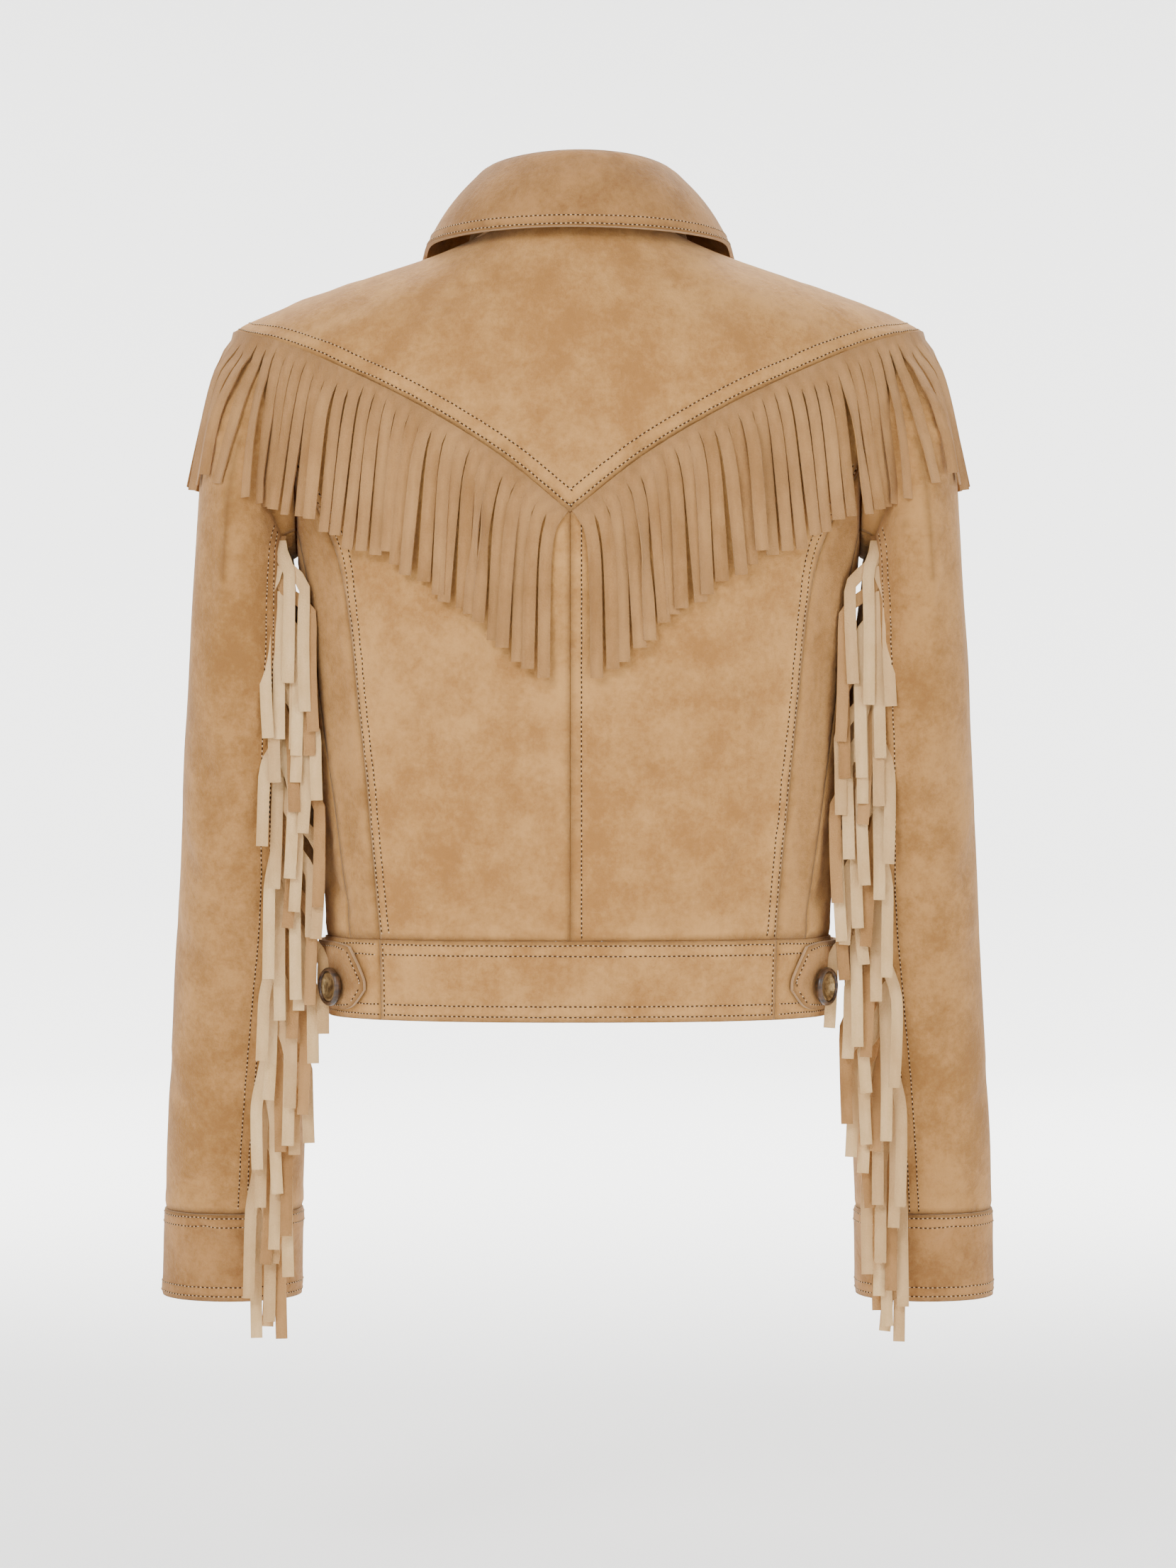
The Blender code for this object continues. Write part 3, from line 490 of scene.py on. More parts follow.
def both_sides(folds, shift=(0, 0, 0)):
    """Folds and their mirror images on the other half, moved and a little weaker."""
    result = list(folds)
    for fold in folds:
        start = Vector((-fold.start.x, fold.start.y, fold.start.z)) / MM + Vector(shift)
        end = Vector((-fold.end.x, fold.end.y, fold.end.z)) / MM + Vector(shift)
        result.append(Fold(end, start, fold.width / MM * 1.1, fold.depth / MM * 0.6,
                           fold.bend / MM))
    return result


def surface_of(meshes):
    """Several meshes as one surface, so that folds and strands cross seams without a break."""
    places, faces = [], []
    for mesh in meshes:
        start = len(places)
        places += [v.co.copy() for v in mesh.vertices]
        faces += [[start + i for i in p.vertices] for p in mesh.polygons]
    return BVHTree.FromPolygons(places, faces)


SKIN_NODES = (("body", ("back_centre", "back_side", "front_left", "front_right", "placket")),
              ("yoke", ("back_yoke", "front_yoke")),
              ("sleeve", ("sleeve_upper", "sleeve_under")), ("cuff", ("cuff",)))
skins = {part: surface_of([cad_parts[n].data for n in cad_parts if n.startswith(words)])
         for part, words in SKIN_NODES}

# Back panels: shallow diagonals and the short folds gathered above the waistband.
back_folds = folds_of((
    ((98, 110, -414), (62, 110, -396), 7, 2.0, 3), ((104, 110, -398), (74, 110, -362), 8, 1.8, 4),
    ((112, 110, -372), (88, 110, -330), 9, 1.5, 3), ((50, 110, -416), (24, 110, -404), 6, 1.3, 2),
    ((-88, 110, -398), (-112, 110, -368), 8, 1.9, 4),
    ((-52, 110, -414), (-86, 110, -402), 7, 1.7, 3),
    ((-104, 110, -384), (-126, 110, -340), 9, 1.4, 3),
    ((-18, 110, -415), (-40, 110, -398), 6, 1.1, 2),
    ((128, 100, -300), (96, 110, -262), 11, 1.3, 4),
    ((-130, 100, -306), (-98, 110, -262), 11, 1.4, 4),
    ((70, 110, -340), (30, 110, -306), 12, 1.0, 5),
    ((-64, 110, -336), (-26, 110, -300), 12, 1.0, 5),
    ((40, 110, -262), (84, 110, -246), 12, 0.9, 3),
    ((-36, 110, -258), (-88, 110, -244), 12, 0.9, 3),
    ((10, 110, -230), (22, 110, -330), 13, 0.7, 5),
    ((-12, 110, -240), (-20, 110, -350), 13, 0.7, 5),
))
# Side and front panels, which the photograph hides: the same kinds of fold.
side_folds = both_sides(folds_of((
    ((140, 60, -412), (136, 20, -380), 8, 1.6, 3), ((142, 40, -372), (148, 0, -330), 9, 1.4, 3),
    ((150, 40, -300), (158, -20, -262), 11, 1.3, 3),
    ((118, -90, -412), (92, -100, -384), 8, 1.8, 4),
    ((70, -110, -414), (44, -110, -390), 7, 1.4, 3),
    ((124, -80, -340), (98, -110, -296), 10, 1.4, 4),
    ((60, -110, -330), (30, -110, -286), 12, 1.1, 4),
    ((136, -80, -250), (100, -115, -212), 12, 1.3, 4),
    ((64, -115, -232), (30, -115, -196), 12, 0.9, 3),
    ((150, -60, -300), (134, -90, -262), 10, 1.2, 3),
)), (2, 0, -5))
# Yoke: broad and shallow, running from the neck to the shoulder tips.
yoke_folds = both_sides(folds_of((
    ((60, 84, -30), (150, 96, -62), 16, 1.3, 6), ((90, 90, -62), (190, 100, -88), 15, 1.2, 5),
    ((120, 70, -22), (186, 80, -48), 14, 1.1, 4), ((40, 92, -72), (26, 100, -122), 15, 0.9, 4),
    ((110, -90, -78), (180, -100, -118), 14, 1.2, 4),
    ((70, -90, -80), (60, -100, -120), 14, 0.8, 4),
)), (4, 0, -3))
print("folds on body and yoke", len(back_folds) + len(side_folds) + len(yoke_folds))

# %% [markdown]
# Now the pieces are made one after another. Each is smoothed, folded, drawn in a little at its
# seams, where thread pulls the leather down, and puckered beside them. The distance to the
# nearest seam is painted on the points, so the leather can darken there, as wear and as painted
# shade in the seam's groove.

# %% Make the leather pieces
pieces = {}
surfaces = {}
rims = {}
# Distances from a seam, in metres, at which its effects fade.
SINK_REACH = 0.0032
PUCKER_REACH, PUCKER_GRAIN, CALM_REACH = 0.011, 85.0, 0.002
WELT_MIDDLE, WELT_REACH, WELT_RISE = 0.0055, 0.0038, 0.35 * MM
DARK_REACH = 0.0022
# How far sleeve and body lean to each other, in millimetres at heights in metres.
EASE_HEIGHTS = (-0.45, -0.38, -0.304, -0.24, -0.2, -0.18)
EASE_AMOUNTS = (0, 3, 6, 3.6, 1, 0)
RAW_FACE_AREA = 1.2e-5


def points_of(mesh):
    """Places of a mesh's points, one row each."""
    places = np.empty(len(mesh.vertices) * 3)
    mesh.vertices.foreach_get("co", places)
    return places.reshape(-1, 3)


def paint(mesh, name, values, domain="POINT"):
    """Values painted on a mesh's points or faces."""
    mesh.attributes.new(name, "FLOAT", domain).data.foreach_set("value", values)


def seam_effects(mesh, outward, sink, pucker):
    """Sink the rim, pucker beside it and paint how close each point is to it."""
    places = points_of(mesh)
    cells = bmesh.new()
    cells.from_mesh(mesh)
    cells.verts.ensure_lookup_table()
    rim_points = set()
    for edge in cells.edges:
        if edge.calc_face_angle(0.0) > RIM_ANGLE:
            rim_points.update(v.index for v in edge.verts)
    tree = KDTree(len(rim_points))
    for i in rim_points:
        tree.insert(places[i], i)
    tree.balance()
    cells.free()
    distance = np.array([tree.find(p)[2] for p in places])
    wave = np.array([noise.noise(Vector(p) * PUCKER_GRAIN) for p in places])
    push = -sink * MM * bell(distance, SINK_REACH)
    push += pucker * MM * wave * bell(distance, PUCKER_REACH) * (1 - bell(distance, CALM_REACH))
    welt = bell(distance - WELT_MIDDLE, WELT_REACH)
    push += WELT_RISE * welt
    places += outward * push[:, None]
    mesh.vertices.foreach_set("co", places.ravel())
    paint(mesh, "welt", welt)
    # Closeness to a seam, which the suede turns into painted shade and wear.
    paint(mesh, "seam_dark", bell(distance, DARK_REACH))
    mesh.update()


def in_place_of(node, ending, mesh):
    """Finished piece that stands for a plain node."""
    piece = in_scene(node + ending, mesh)
    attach(piece, "root")
    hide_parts(node)
    pieces[node] = piece


def leather(node, part, material, folds, sink=0.5, pucker=0.9):
    """Finished piece of leather in place of a plain wall."""
    cells = merged_copy(node)
    runs, area = outer_runs(cells)
    mesh = refined(cells, node)
    places = points_of(mesh)
    outward = outward_of(places, part)
    skin = skins["yoke" if "yoke" in node else "cuff" if "cuff" in node else part]
    push = np.zeros(len(places))
    for fold in folds:
        push += fold.push(places, skin, outward)
    ease = np.interp(places[:, 2], EASE_HEIGHTS, EASE_AMOUNTS)
    if part == "sleeve":
        push += ease * MM * np.clip(-np.sign(places[:, 0]) * outward[:, 0], 0, 1) ** 2
    else:
        push += ease * 0.5 * MM * np.abs(outward[:, 0]) ** 3
    sway = np.array([noise.noise(Vector(p) * 17.0) for p in places])
    push += 0.8 * MM * sway
    mesh.vertices.foreach_set("co", (places + outward * push[:, None]).ravel())
    seam_effects(mesh, outward, sink, pucker)
    mesh.shade_smooth()
    mesh.set_sharp_from_angle(angle=math.radians(50))
    mesh.materials.append(material)
    if node.startswith("collar"):
        raw = [face.normal.z < -0.8 for face in mesh.polygons]
    else:
        raw = [abs(face.normal.dot(Vector(outward[face.vertices[0]]))) < 0.4
               and face.area < RAW_FACE_AREA for face in mesh.polygons]
    paint(mesh, "raw_edge", [float(cut) for cut in raw], "FACE")
    in_place_of(node, "_suede", mesh)
    surfaces[node] = surface_of([mesh])
    rims[node] = runs
    print(node, len(mesh.polygons), "faces, outer face", round(area * 1e4), "cm2,",
          len(runs), "runs of edge")


# The back side panels take the darker sleeve suede: painted shade where they turn from the light,
# and a tone of their own.
for node in ("back_centre_left", "back_centre_right", "back_side_left", "back_side_right",
             "front_left", "front_right", "placket"):
    leather(node, "body", sleeve_suede if "side" in node else body_suede,
            back_folds + side_folds)
for node in ("back_yoke", "front_yoke_left", "front_yoke_right"):
    leather(node, "body", body_suede, yoke_folds)
for node in ("waistband_back", "waistband_front_left", "waistband_front_right"):
    leather(node, "body", body_suede, [], pucker=1.0)
for node in ("side_tab_left", "side_tab_right", "collar_stand", "collar_fall"):
    leather(node, "body", trim_suede, [], sink=0.4, pucker=0.6)

# %% [markdown]
# Arms bend, so a sleeve keeps more folds than a body. The photograph shows broad drags down the
# upper arm, shallow dents near the elbow and one slanting crease above each cuff. The cuffs are
# doubled and stiff, so they only ripple at their stitching.

# %% Sleeves and cuffs
sleeve_folds = both_sides(folds_of((
    ((250, 30, -150), (262, 20, -300), 13, 1.5, 6),
    ((214, 60, -130), (232, 56, -260), 18, 0.8, -6),
    ((236, 50, -300), (212, 56, -360), 11, 1.4, 4), ((258, 10, -340), (236, 40, -392), 10, 1.5, 4),
    ((262, 0, -410), (228, 34, -440), 10, 1.3, 3), ((206, 44, -420), (240, 20, -486), 11, 1.2, -4),
    ((262, -20, -500), (232, 10, -540), 11, 1.3, 3), ((246, -8, -586), (216, 4, -564), 7, 2.0, 2),
    ((190, 30, -590), (204, 10, -552), 8, 1.4, 3), ((200, 48, -200), (206, 50, -290), 12, 1.2, 4),
    ((262, -30, -220), (262, -50, -330), 12, 1.3, 5),
    ((236, -60, -300), (210, -60, -360), 11, 1.4, 4),
    ((250, -60, -400), (220, -70, -450), 11, 1.3, 4),
    ((230, -80, -520), (200, -74, -560), 10, 1.2, 3),
    ((240, -50, -150), (220, -60, -240), 13, 1.3, 5),
)), (3, 0, -7))
for node in ("sleeve_upper_left", "sleeve_upper_right", "sleeve_under_left", "sleeve_under_right"):
    leather(node, "sleeve", sleeve_suede, sleeve_folds)
cuff_folds = both_sides(folds_of((
    ((240, 0, -602), (212, 6, -626), 6, 1.3, 2), ((196, 0, -650), (186, -30, -622), 6, 1.0, 2),
)), (2, 0, -3))
for node in ("cuff_left", "cuff_right"):
    leather(node, "sleeve", trim_suede, cuff_folds, sink=0.4)

# %% [markdown]
# Fringe is a band of suede slit from below with a blade, so its strands touch where they start
# and hang apart lower down. Each strand here is a ribbon of three columns, led down over the
# leather like a falling strip, then thickened. The slits start at uneven heights, as hand-cut.

# %% Fringe leather and the drape of a strand


def fringe_suede(name):
    graph = Graph(name)
    tone = graph.painted("tone")
    reverse = graph.painted("reverse")
    along = graph.stretched((1.0, 1.0, 0.25))
    streak = graph.cloud(150.0, 4.0, 0.6, along)
    nap = graph.cloud(900.0, 3.0, 0.7)
    patch = graph.cloud(24.0, 4.0, 0.6)
    value = streak * 0.35 + nap * 0.15 + patch * 0.5
    colour = graph.mix(value.between(0.35, 0.66), (0.315, 0.150, 0.049, 1),
                       (0.475, 0.248, 0.091, 1))
    colour = graph.mix(tone, colour, (0.56, 0.31, 0.125, 1))
    pale = graph.mix(value.between(0.3, 0.7), (0.74, 0.465, 0.205, 1), (0.92, 0.64, 0.33, 1))
    colour = graph.mix(reverse, colour, pale)
    shade = graph.painted("seam_dark")
    colour = graph.mix(shade * 0.6, colour, (0.16, 0.085, 0.04, 1))
    graph.surface("Base Color", colour)
    graph.surface("Roughness", patch * 0.1 + 0.84)
    graph.surface("Normal", graph.bump(streak * 0.5 + nap, 0.0008))
    graph.brushed()
    return graph.material


fringe_leather = fringe_suede("fringe_suede")


def uneven(i, seed):
    """Repeatable number from -1 to 1 for strand i."""
    return 2.0 * ((math.sin(i * 12.9898 + seed * 78.233) * 43758.5453) % 1.0) - 1.0


LOOK_FROM, LOOK_FAR = 0.022, 0.05


def hang(place, way, normal, length, clear, skin, lean, steps=14, stiff=0.55):
    """Middle line of a strand that falls over the leather, with its outward directions."""
    line, outs = [place.copy()], [normal.copy()]
    step = length / steps
    for k in range(steps):
        goal = (lean - Vector((0, 0, 1))).normalized()
        way = (way * stiff + goal * (1 - stiff)).normalized()
        place = place + way * step
        room = clear * min(1.0, 0.25 + (k + 1) / 4)
        met, met_normal = skin.ray_cast(place + normal * LOOK_FROM, -normal, LOOK_FAR)[:2]
        if met and met_normal.dot(normal) > 0.15:
            gap = (place - met).dot(met_normal)
            if gap < room:
                place = place + met_normal * (room - gap)
            if gap < room + 0.004:
                normal = (normal * 0.55 + met_normal * 0.45).normalized()
        way = (place - line[-1]).normalized()
        line.append(place.copy())
        outs.append(normal.copy())
    return line, outs


print("fringe leather", fringe_leather.name)

# %% [markdown]
# The ribbons are gathered into one sheet with a column of points at each edge and one between,
# so a strand can cup a little. A Solidify modifier then gives the sheet the leather's thickness.
# Tone and reverse are painted per strand: the reverse of split suede is paler than its face.
# Painted shade darkens each strand's edges and root, for the shadows in the slits between strands.

# %% Ribbons into fringe
STRAND_THICKNESS = 0.0009


class FringeSheet:
    """Open sheet of strands that becomes one thick piece."""

    def __init__(self):
        self.sheet = bmesh.new()
        self.tone = self.sheet.verts.layers.float.new("tone")
        self.reverse = self.sheet.verts.layers.float.new("reverse")
        self.dark = self.sheet.verts.layers.float.new("seam_dark")
        self.area = 0.0

    def point(self, place, tone=0.2, reverse=0.0, dark=0.0):
        vert = self.sheet.verts.new(place)
        vert[self.tone], vert[self.reverse], vert[self.dark] = tone, reverse, dark
        return vert

    def cell(self, a, b, c, d, out):
        face = self.sheet.faces.new((a, b, c, d))
        face.normal_update()
        if face.normal.dot(out) < 0:
            face.normal_flip()
        face.smooth = True
        self.area += face.calc_area()

    def strand(self, root, line, outs, wide, across, yaw, tone, cup, twist_end, reverse=0.0,
               edge_dark=0.38):
        """Ribbon below three root points, along a middle line."""
        above = root
        last = len(line) - 1
        for k in range(1, last + 1):
            way = (line[k] - line[k - 1]).normalized()
            side = (across - way * across.dot(way)).normalized()
            out = way.cross(side)
            if out.dot(outs[k]) < 0:
                out = -out
            turn = math.radians(yaw * math.sin(math.pi * min(1.0, k / last * 1.1)) ** 2
                                + twist_end * (k / last) ** 2)
            edge = (side * math.cos(turn) + out * math.sin(turn)) * wide / 2
            bulge = (out * math.cos(turn) - side * math.sin(turn)) * cup * MM * min(1.0, k / 4)
            # Both edges of a strand are painted dark: painted shade for the shadow in the slits
            # beside it.
            row = [self.point(line[k] - edge, tone, reverse, edge_dark),
                   self.point(line[k] + bulge, tone, reverse),
                   self.point(line[k] + edge, tone, reverse, edge_dark)]
            facing = outs[k] if abs(turn) < 1.2 else bulge
            self.cell(above[0], above[1], row[1], row[0], facing)
            self.cell(above[1], above[2], row[2], row[1], facing)
            above = row

    def finish(self, node):
        thing = in_scene(node, mesh_of(self.sheet, node))
        wall = thing.modifiers.new("leather", "SOLIDIFY")
        wall.thickness = STRAND_THICKNESS
        wall.offset = 0.0
        result = applied(thing)
        result.shade_smooth()
        result.set_sharp_from_angle(angle=math.radians(40))
        result.materials.append(fringe_leather)
        in_place_of(node, "_suede", result)
        print(node, len(result.polygons), "faces,", round(self.area * 1e4), "cm2 of leather")


def middle_of(run):
    """Mean place of an edge run."""
    return sum(run[0], Vector()) / len(run[0])


def seam_line(node, near):
    """Run of a piece's edge whose middle is nearest to a place, in millimetres."""
    target = Vector(near) * MM
    return min(rims[node], key=lambda run: (middle_of(run) - target).length)


class Along:
    """Smooth walk along a seam by distance."""

    def __init__(self, run):
        places, normals = run
        self.marks = [0.0]
        for a, b in zip(places, places[1:]):
            self.marks.append(self.marks[-1] + (b - a).length)
        self.long = self.marks[-1]
        self.places, self.normals = places, normals

    def smooth(self, row, distance):
        """Cubic through the neighbours, so corners between cells don't show."""
        i = max(0, min(len(self.marks) - 2,
                       int(np.searchsorted(self.marks, distance, side="right")) - 1))
        t = (distance - self.marks[i]) / max(1e-9, self.marks[i + 1] - self.marks[i])
        t = max(0.0, min(1.0, t))
        p1, p2 = row[i], row[i + 1]
        p0 = row[i - 1] if i > 0 else p1 * 2 - p2
        p3 = row[i + 2] if i + 2 < len(row) else p2 * 2 - p1
        return (p1 * 2 + (p2 - p0) * t + (p0 * 2 - p1 * 5 + p2 * 4 - p3) * t * t
                + (p1 * 3 - p0 - p2 * 3 + p3) * t ** 3) * 0.5

    def at(self, distance):
        """Place, outward normal and direction at a distance."""
        step = 0.0015
        ahead = self.smooth(self.places, distance + step)
        behind = self.smooth(self.places, distance - step)
        way = (ahead - behind).normalized()
        out = self.smooth(self.normals, distance).normalized()
        return self.smooth(self.places, distance), out, way


BACK_YOKE_EDGE = (125, 67, -96)
FRONT_YOKE_EDGE = (130, -70, -95)
SLEEVE_SEAM = (186, 34, -336)


def mirrored(place, side):
    """Place on the wearer's left (side 1) or right (side -1)."""
    return (side * place[0],) + place[1:]


print("yoke edge to the left tip is",
      round(Along(seam_line("back_yoke", BACK_YOKE_EDGE)).long, 3), "m")

# %% [markdown]
# The yoke's fringe runs from the centre seam to the shoulder tip on the back, and from the
# placket to the same tip on the front. Strands leave the seam at a right angle, then turn down.
# Neighbours lie at four heights above the leather, so they can overlap a little as they swing.

# %% Fringe under the yokes
body_skin = surface_of([pieces[n].data for n in pieces if n not in
                        ("collar_fall", "collar_stand", "placket", "back_yoke",
                         "front_yoke_left", "front_yoke_right")])
# Heights of neighbouring strands above the leather, in millimetres.
LAYERS = (0.8, 2.1, 1.2, 2.8)


def yoke_fringe(node, run, side, count, margins, odd):
    """Fringe along a yoke's edge; odd strands, by number, are turned by their own angle."""
    walk = Along(run)
    if walk.places[0].x * side > walk.places[-1].x * side:
        run = (run[0][::-1], run[1][::-1])
        walk = Along(run)
    usable = walk.long - margins[0] - margins[1]
    fringe = FringeSheet()
    bounds = [margins[0] + usable * i / count for i in range(count + 1)]
    pitch = usable / count
    tops, slits, downs = [], [], []
    for j, distance in enumerate(bounds):
        place, out, way = walk.at(distance)
        down = out.cross(way)
        if down.z > 0:
            down = -down
        slit = (7.2 + 3.2 * uneven(j, 1.0) + 1.6 * math.sin(j * 0.7)) * MM
        base = place - out * 0.0006 + down * 0.0002
        downs.append(down)
        # Painted shade darkens the strand roots under the yoke's edge and the tops of the slits.
        tops.append(fringe.point(base, 0.1, 0.0, 0.5))
        lower = base + down * slit
        near, near_out = body_skin.find_nearest(lower)[:2]
        if near_out.dot(out) > 0.5:
            lower = near + near_out * 0.0013
        slits.append((fringe.point(lower, 0.1, 0.0, 0.4), lower))
    for i in range(count):
        place, out = walk.at((bounds[i] + bounds[i + 1]) / 2)[:2]
        top_mid = fringe.point((tops[i].co + tops[i + 1].co) / 2, 0.1, 0.0, 0.5)
        down = (downs[i] + downs[i + 1]).normalized()
        low = (slits[i][1] + slits[i + 1][1]) / 2
        root_mid = fringe.point(low + out * 0.0001, 0.1)
        fringe.cell(tops[i], top_mid, root_mid, slits[i][0], out)
        fringe.cell(top_mid, tops[i + 1], slits[i + 1][0], root_mid, out)
        share = (i + 0.5) / count
        cut = (low - place).length
        length = yoke_reach(share) + 3.5 * uneven(i, 2.0) + 2.5 * math.sin(i * 0.9)
        lean = Vector((side * (0.02 + 0.17 * share + 0.03 * uneven(i, 3.0)), 0, 0))
        clear = (LAYERS[i % 4] + 0.35 * abs(uneven(i, 4.0)) + (2.4 if i in odd else 0.0)) * MM
        line, outs = hang(low, down, out, length * MM - cut, clear, body_skin, lean)
        across = (slits[i + 1][1] - slits[i][1]).normalized()
        fringe.strand((slits[i][0], root_mid, slits[i + 1][0]), line, outs,
                      pitch * (0.88 + 0.035 * uneven(i, 5.0)), across,
                      yaw=odd.get(i, 11.0 * uneven(i, 6.0)), tone=0.16 + 0.16 * uneven(i, 7.0),
                      cup=0.6 * uneven(i, 8.0), twist_end=14.0 * uneven(i, 9.0))
    fringe.finish(node)


def yoke_reach(share):
    """Strands are longest at the centre and again at the tip."""
    return 108.0 - 14.0 * math.sin(math.pi * min(1.0, share * 1.25)) * 0.6 - 8.0 * share


for side, name, odd in ((1, "left", {5: 62.0, 6: -40.0, 19: 24.0}),
                        (-1, "right", {4: -50.0, 13: 30.0, 21: -26.0})):
    yoke_fringe("back_fringe_" + name, seam_line("back_yoke", mirrored(BACK_YOKE_EDGE, side)),
                side, 32, (0.0012, 0.0015), odd)
    yoke_fringe("front_fringe_" + name,
                seam_line("front_yoke_" + name, mirrored(FRONT_YOKE_EDGE, side)),
                side, 27, (0.0015, 0.0015), {7: side * 40.0, 17: -30.0})

# %% [markdown]
# The sleeve fringe comes out of the hind seam and piles up in layers, turned so that much of its
# paler reverse shows. Every strand lies a little further out than the one below it, like
# shingles, and swings to its own side before it hangs straight.

# %% Fringe down the sleeves
LOWEST_TIP = -0.677
SLEEVE_STRANDS = 50
STRAND_STEPS = 13
BAND_STEPS = 59
STRAND_WIDE = 7.2 * MM
# Distances of the strands inward from the seam, in millimetres: by turns, and at the armpit.
COLUMNS = (0.0, 12.0, 22.0, 6.0, 17.0, -6.0, 10.0, 20.0)
ARMPIT_COLUMNS = (6.0, 17.0, -7.0, 21.0, 1.0, 12.0)


def sleeve_fringe(node, side):
    """Fringe down one sleeve's hind seam."""
    run = seam_line("sleeve_upper_" + node.split("_")[-1], mirrored(SLEEVE_SEAM, side))
    if run[0][0].z < run[0][-1].z:
        run = (run[0][::-1], run[1][::-1])
    walk = Along(run)
    heights = [p.z for p in walk.places][::-1]
    seam_y = [p.y for p in walk.places][::-1]
    fringe = FringeSheet()
    inner = Vector((-side, 0, 0))
    # The band along the seam is painted dark: painted shade under the strands that cover it.
    band = []
    for k in range(BAND_STEPS + 1):
        place, out = walk.at(walk.long * k / BAND_STEPS)[:2]
        out = (out + Vector((0, 0.6, 0))).normalized()
        band.append([fringe.point(place + inner * w * MM + out * 0.0009, 0.2, 0.0, 0.4)
                     for w in (-2.5, 0.0, 2.5)])
    for a, b in zip(band, band[1:]):
        fringe.cell(a[0], a[1], b[1], b[0], Vector((0, 1, 0)))
        fringe.cell(a[1], a[2], b[2], b[1], Vector((0, 1, 0)))
    first, last = 0.004, walk.long - 0.004
    for k in range(SLEEVE_STRANDS):
        place = walk.at(first + (last - first) * k / (SLEEVE_STRANDS - 1))[0]
        at_armpit = k < len(ARMPIT_COLUMNS)
        if at_armpit:
            column = ARMPIT_COLUMNS[k]
        else:
            column = COLUMNS[k % 8] + 2.0 * uneven(k, 11.0 + side)
            column *= float(np.interp(place.z, (-0.6, -0.5, -0.42), (0.62, 0.8, 1.18)))
        length = 85.0 + 13.0 * uneven(k, 12.0 + side) + (8.0 if at_armpit else 0.0)
        length = min(length, (place.z - LOWEST_TIP) / MM + 3.0 * uneven(k, 20.0))
        drift = 2.5 * uneven(k, 13.0 + side)
        bow = 1.6 * uneven(k, 14.0 + side)
        line, outs = [], []
        for q in range(STRAND_STEPS + 1):
            s = length * q / STRAND_STEPS
            eased = min(1.0, s / (22.0 if at_armpit else 38.0))
            eased = eased * eased * (3 - 2 * eased)
            aside = (column * eased + drift * (s / length) ** 2
                     + bow * math.sin(math.pi * s / length))
            z = place.z - s * MM
            ground = float(np.interp(z, heights, seam_y)) - max(0.0, heights[0] - z) * 0.12
            x = place.x - side * aside * MM
            y = max(place.y, ground) + (0.9 + 0.095 * s + 0.35 * max(0.0, -aside)) * MM
            line.append(Vector((x, y, z)))
            outs.append(Vector((0.0, 1.0, 0.1)).normalized())
        tone = 0.35 + 0.3 * uneven(k, 15.0 + side)
        reverse = 0.0 if k % 4 == 3 else 0.72 + 0.28 * uneven(k, 16.0 + side)
        root = [fringe.point(line[0] + inner * w * STRAND_WIDE, tone, reverse)
                for w in (-0.5, 0.0, 0.5)]
        fringe.strand(root, line, outs, STRAND_WIDE, inner, yaw=12.0 * uneven(k, 17.0 + side),
                      tone=tone, reverse=reverse, cup=0.35 * uneven(k, 18.0),
                      twist_end=16.0 * uneven(k, 19.0 + side), edge_dark=0.2)
    fringe.finish(node)


sleeve_fringe("sleeve_fringe_left", 1)
sleeve_fringe("sleeve_fringe_right", -1)

# %% [markdown]
# Topstitching is a row of short thread bridges that go into the leather at both ends. A stitch is
# a pale icosphere pressed long and flat, and half a pitch on, a flatter one painted dark is
# painted shade in the dent where the thread goes in. The pair is set down again and again along a
# line beside the seam.

# %% Thread and one stitch
STITCH_PITCH = 2.9 * MM
STITCH_LONG = 1.45 * MM
STITCH_WIDE = 0.85 * MM
V_POINT = 4.5 * MM

thread = Graph("tan_thread")
strand_noise = thread.cloud(700.0, 2.0, 0.5)
thread_colour = thread.mix(strand_noise, (0.52, 0.345, 0.185, 1), (0.70, 0.50, 0.30, 1))
# Beads painted as holes turn near black: painted shade in the dents of the stitching.
thread_colour = thread.mix(thread.painted("hole").between(0.3, 0.75), thread_colour,
                           (0.055, 0.026, 0.011, 1))
thread.surface("Base Color", thread_colour)
thread.surface("Roughness", strand_noise * 0.2 + 0.5)
thread.surface("Specular IOR Level", 0.1)
thread.surface("Normal", thread.bump(strand_noise, 0.0003))


def bead(row, basis, *half_sizes):
    """Pressed icosphere on a basis; gives its points."""
    matrix = basis @ Matrix.Diagonal(half_sizes + (1.0,))
    return bmesh.ops.create_icosphere(row, subdivisions=1, radius=1.0, matrix=matrix)["verts"]


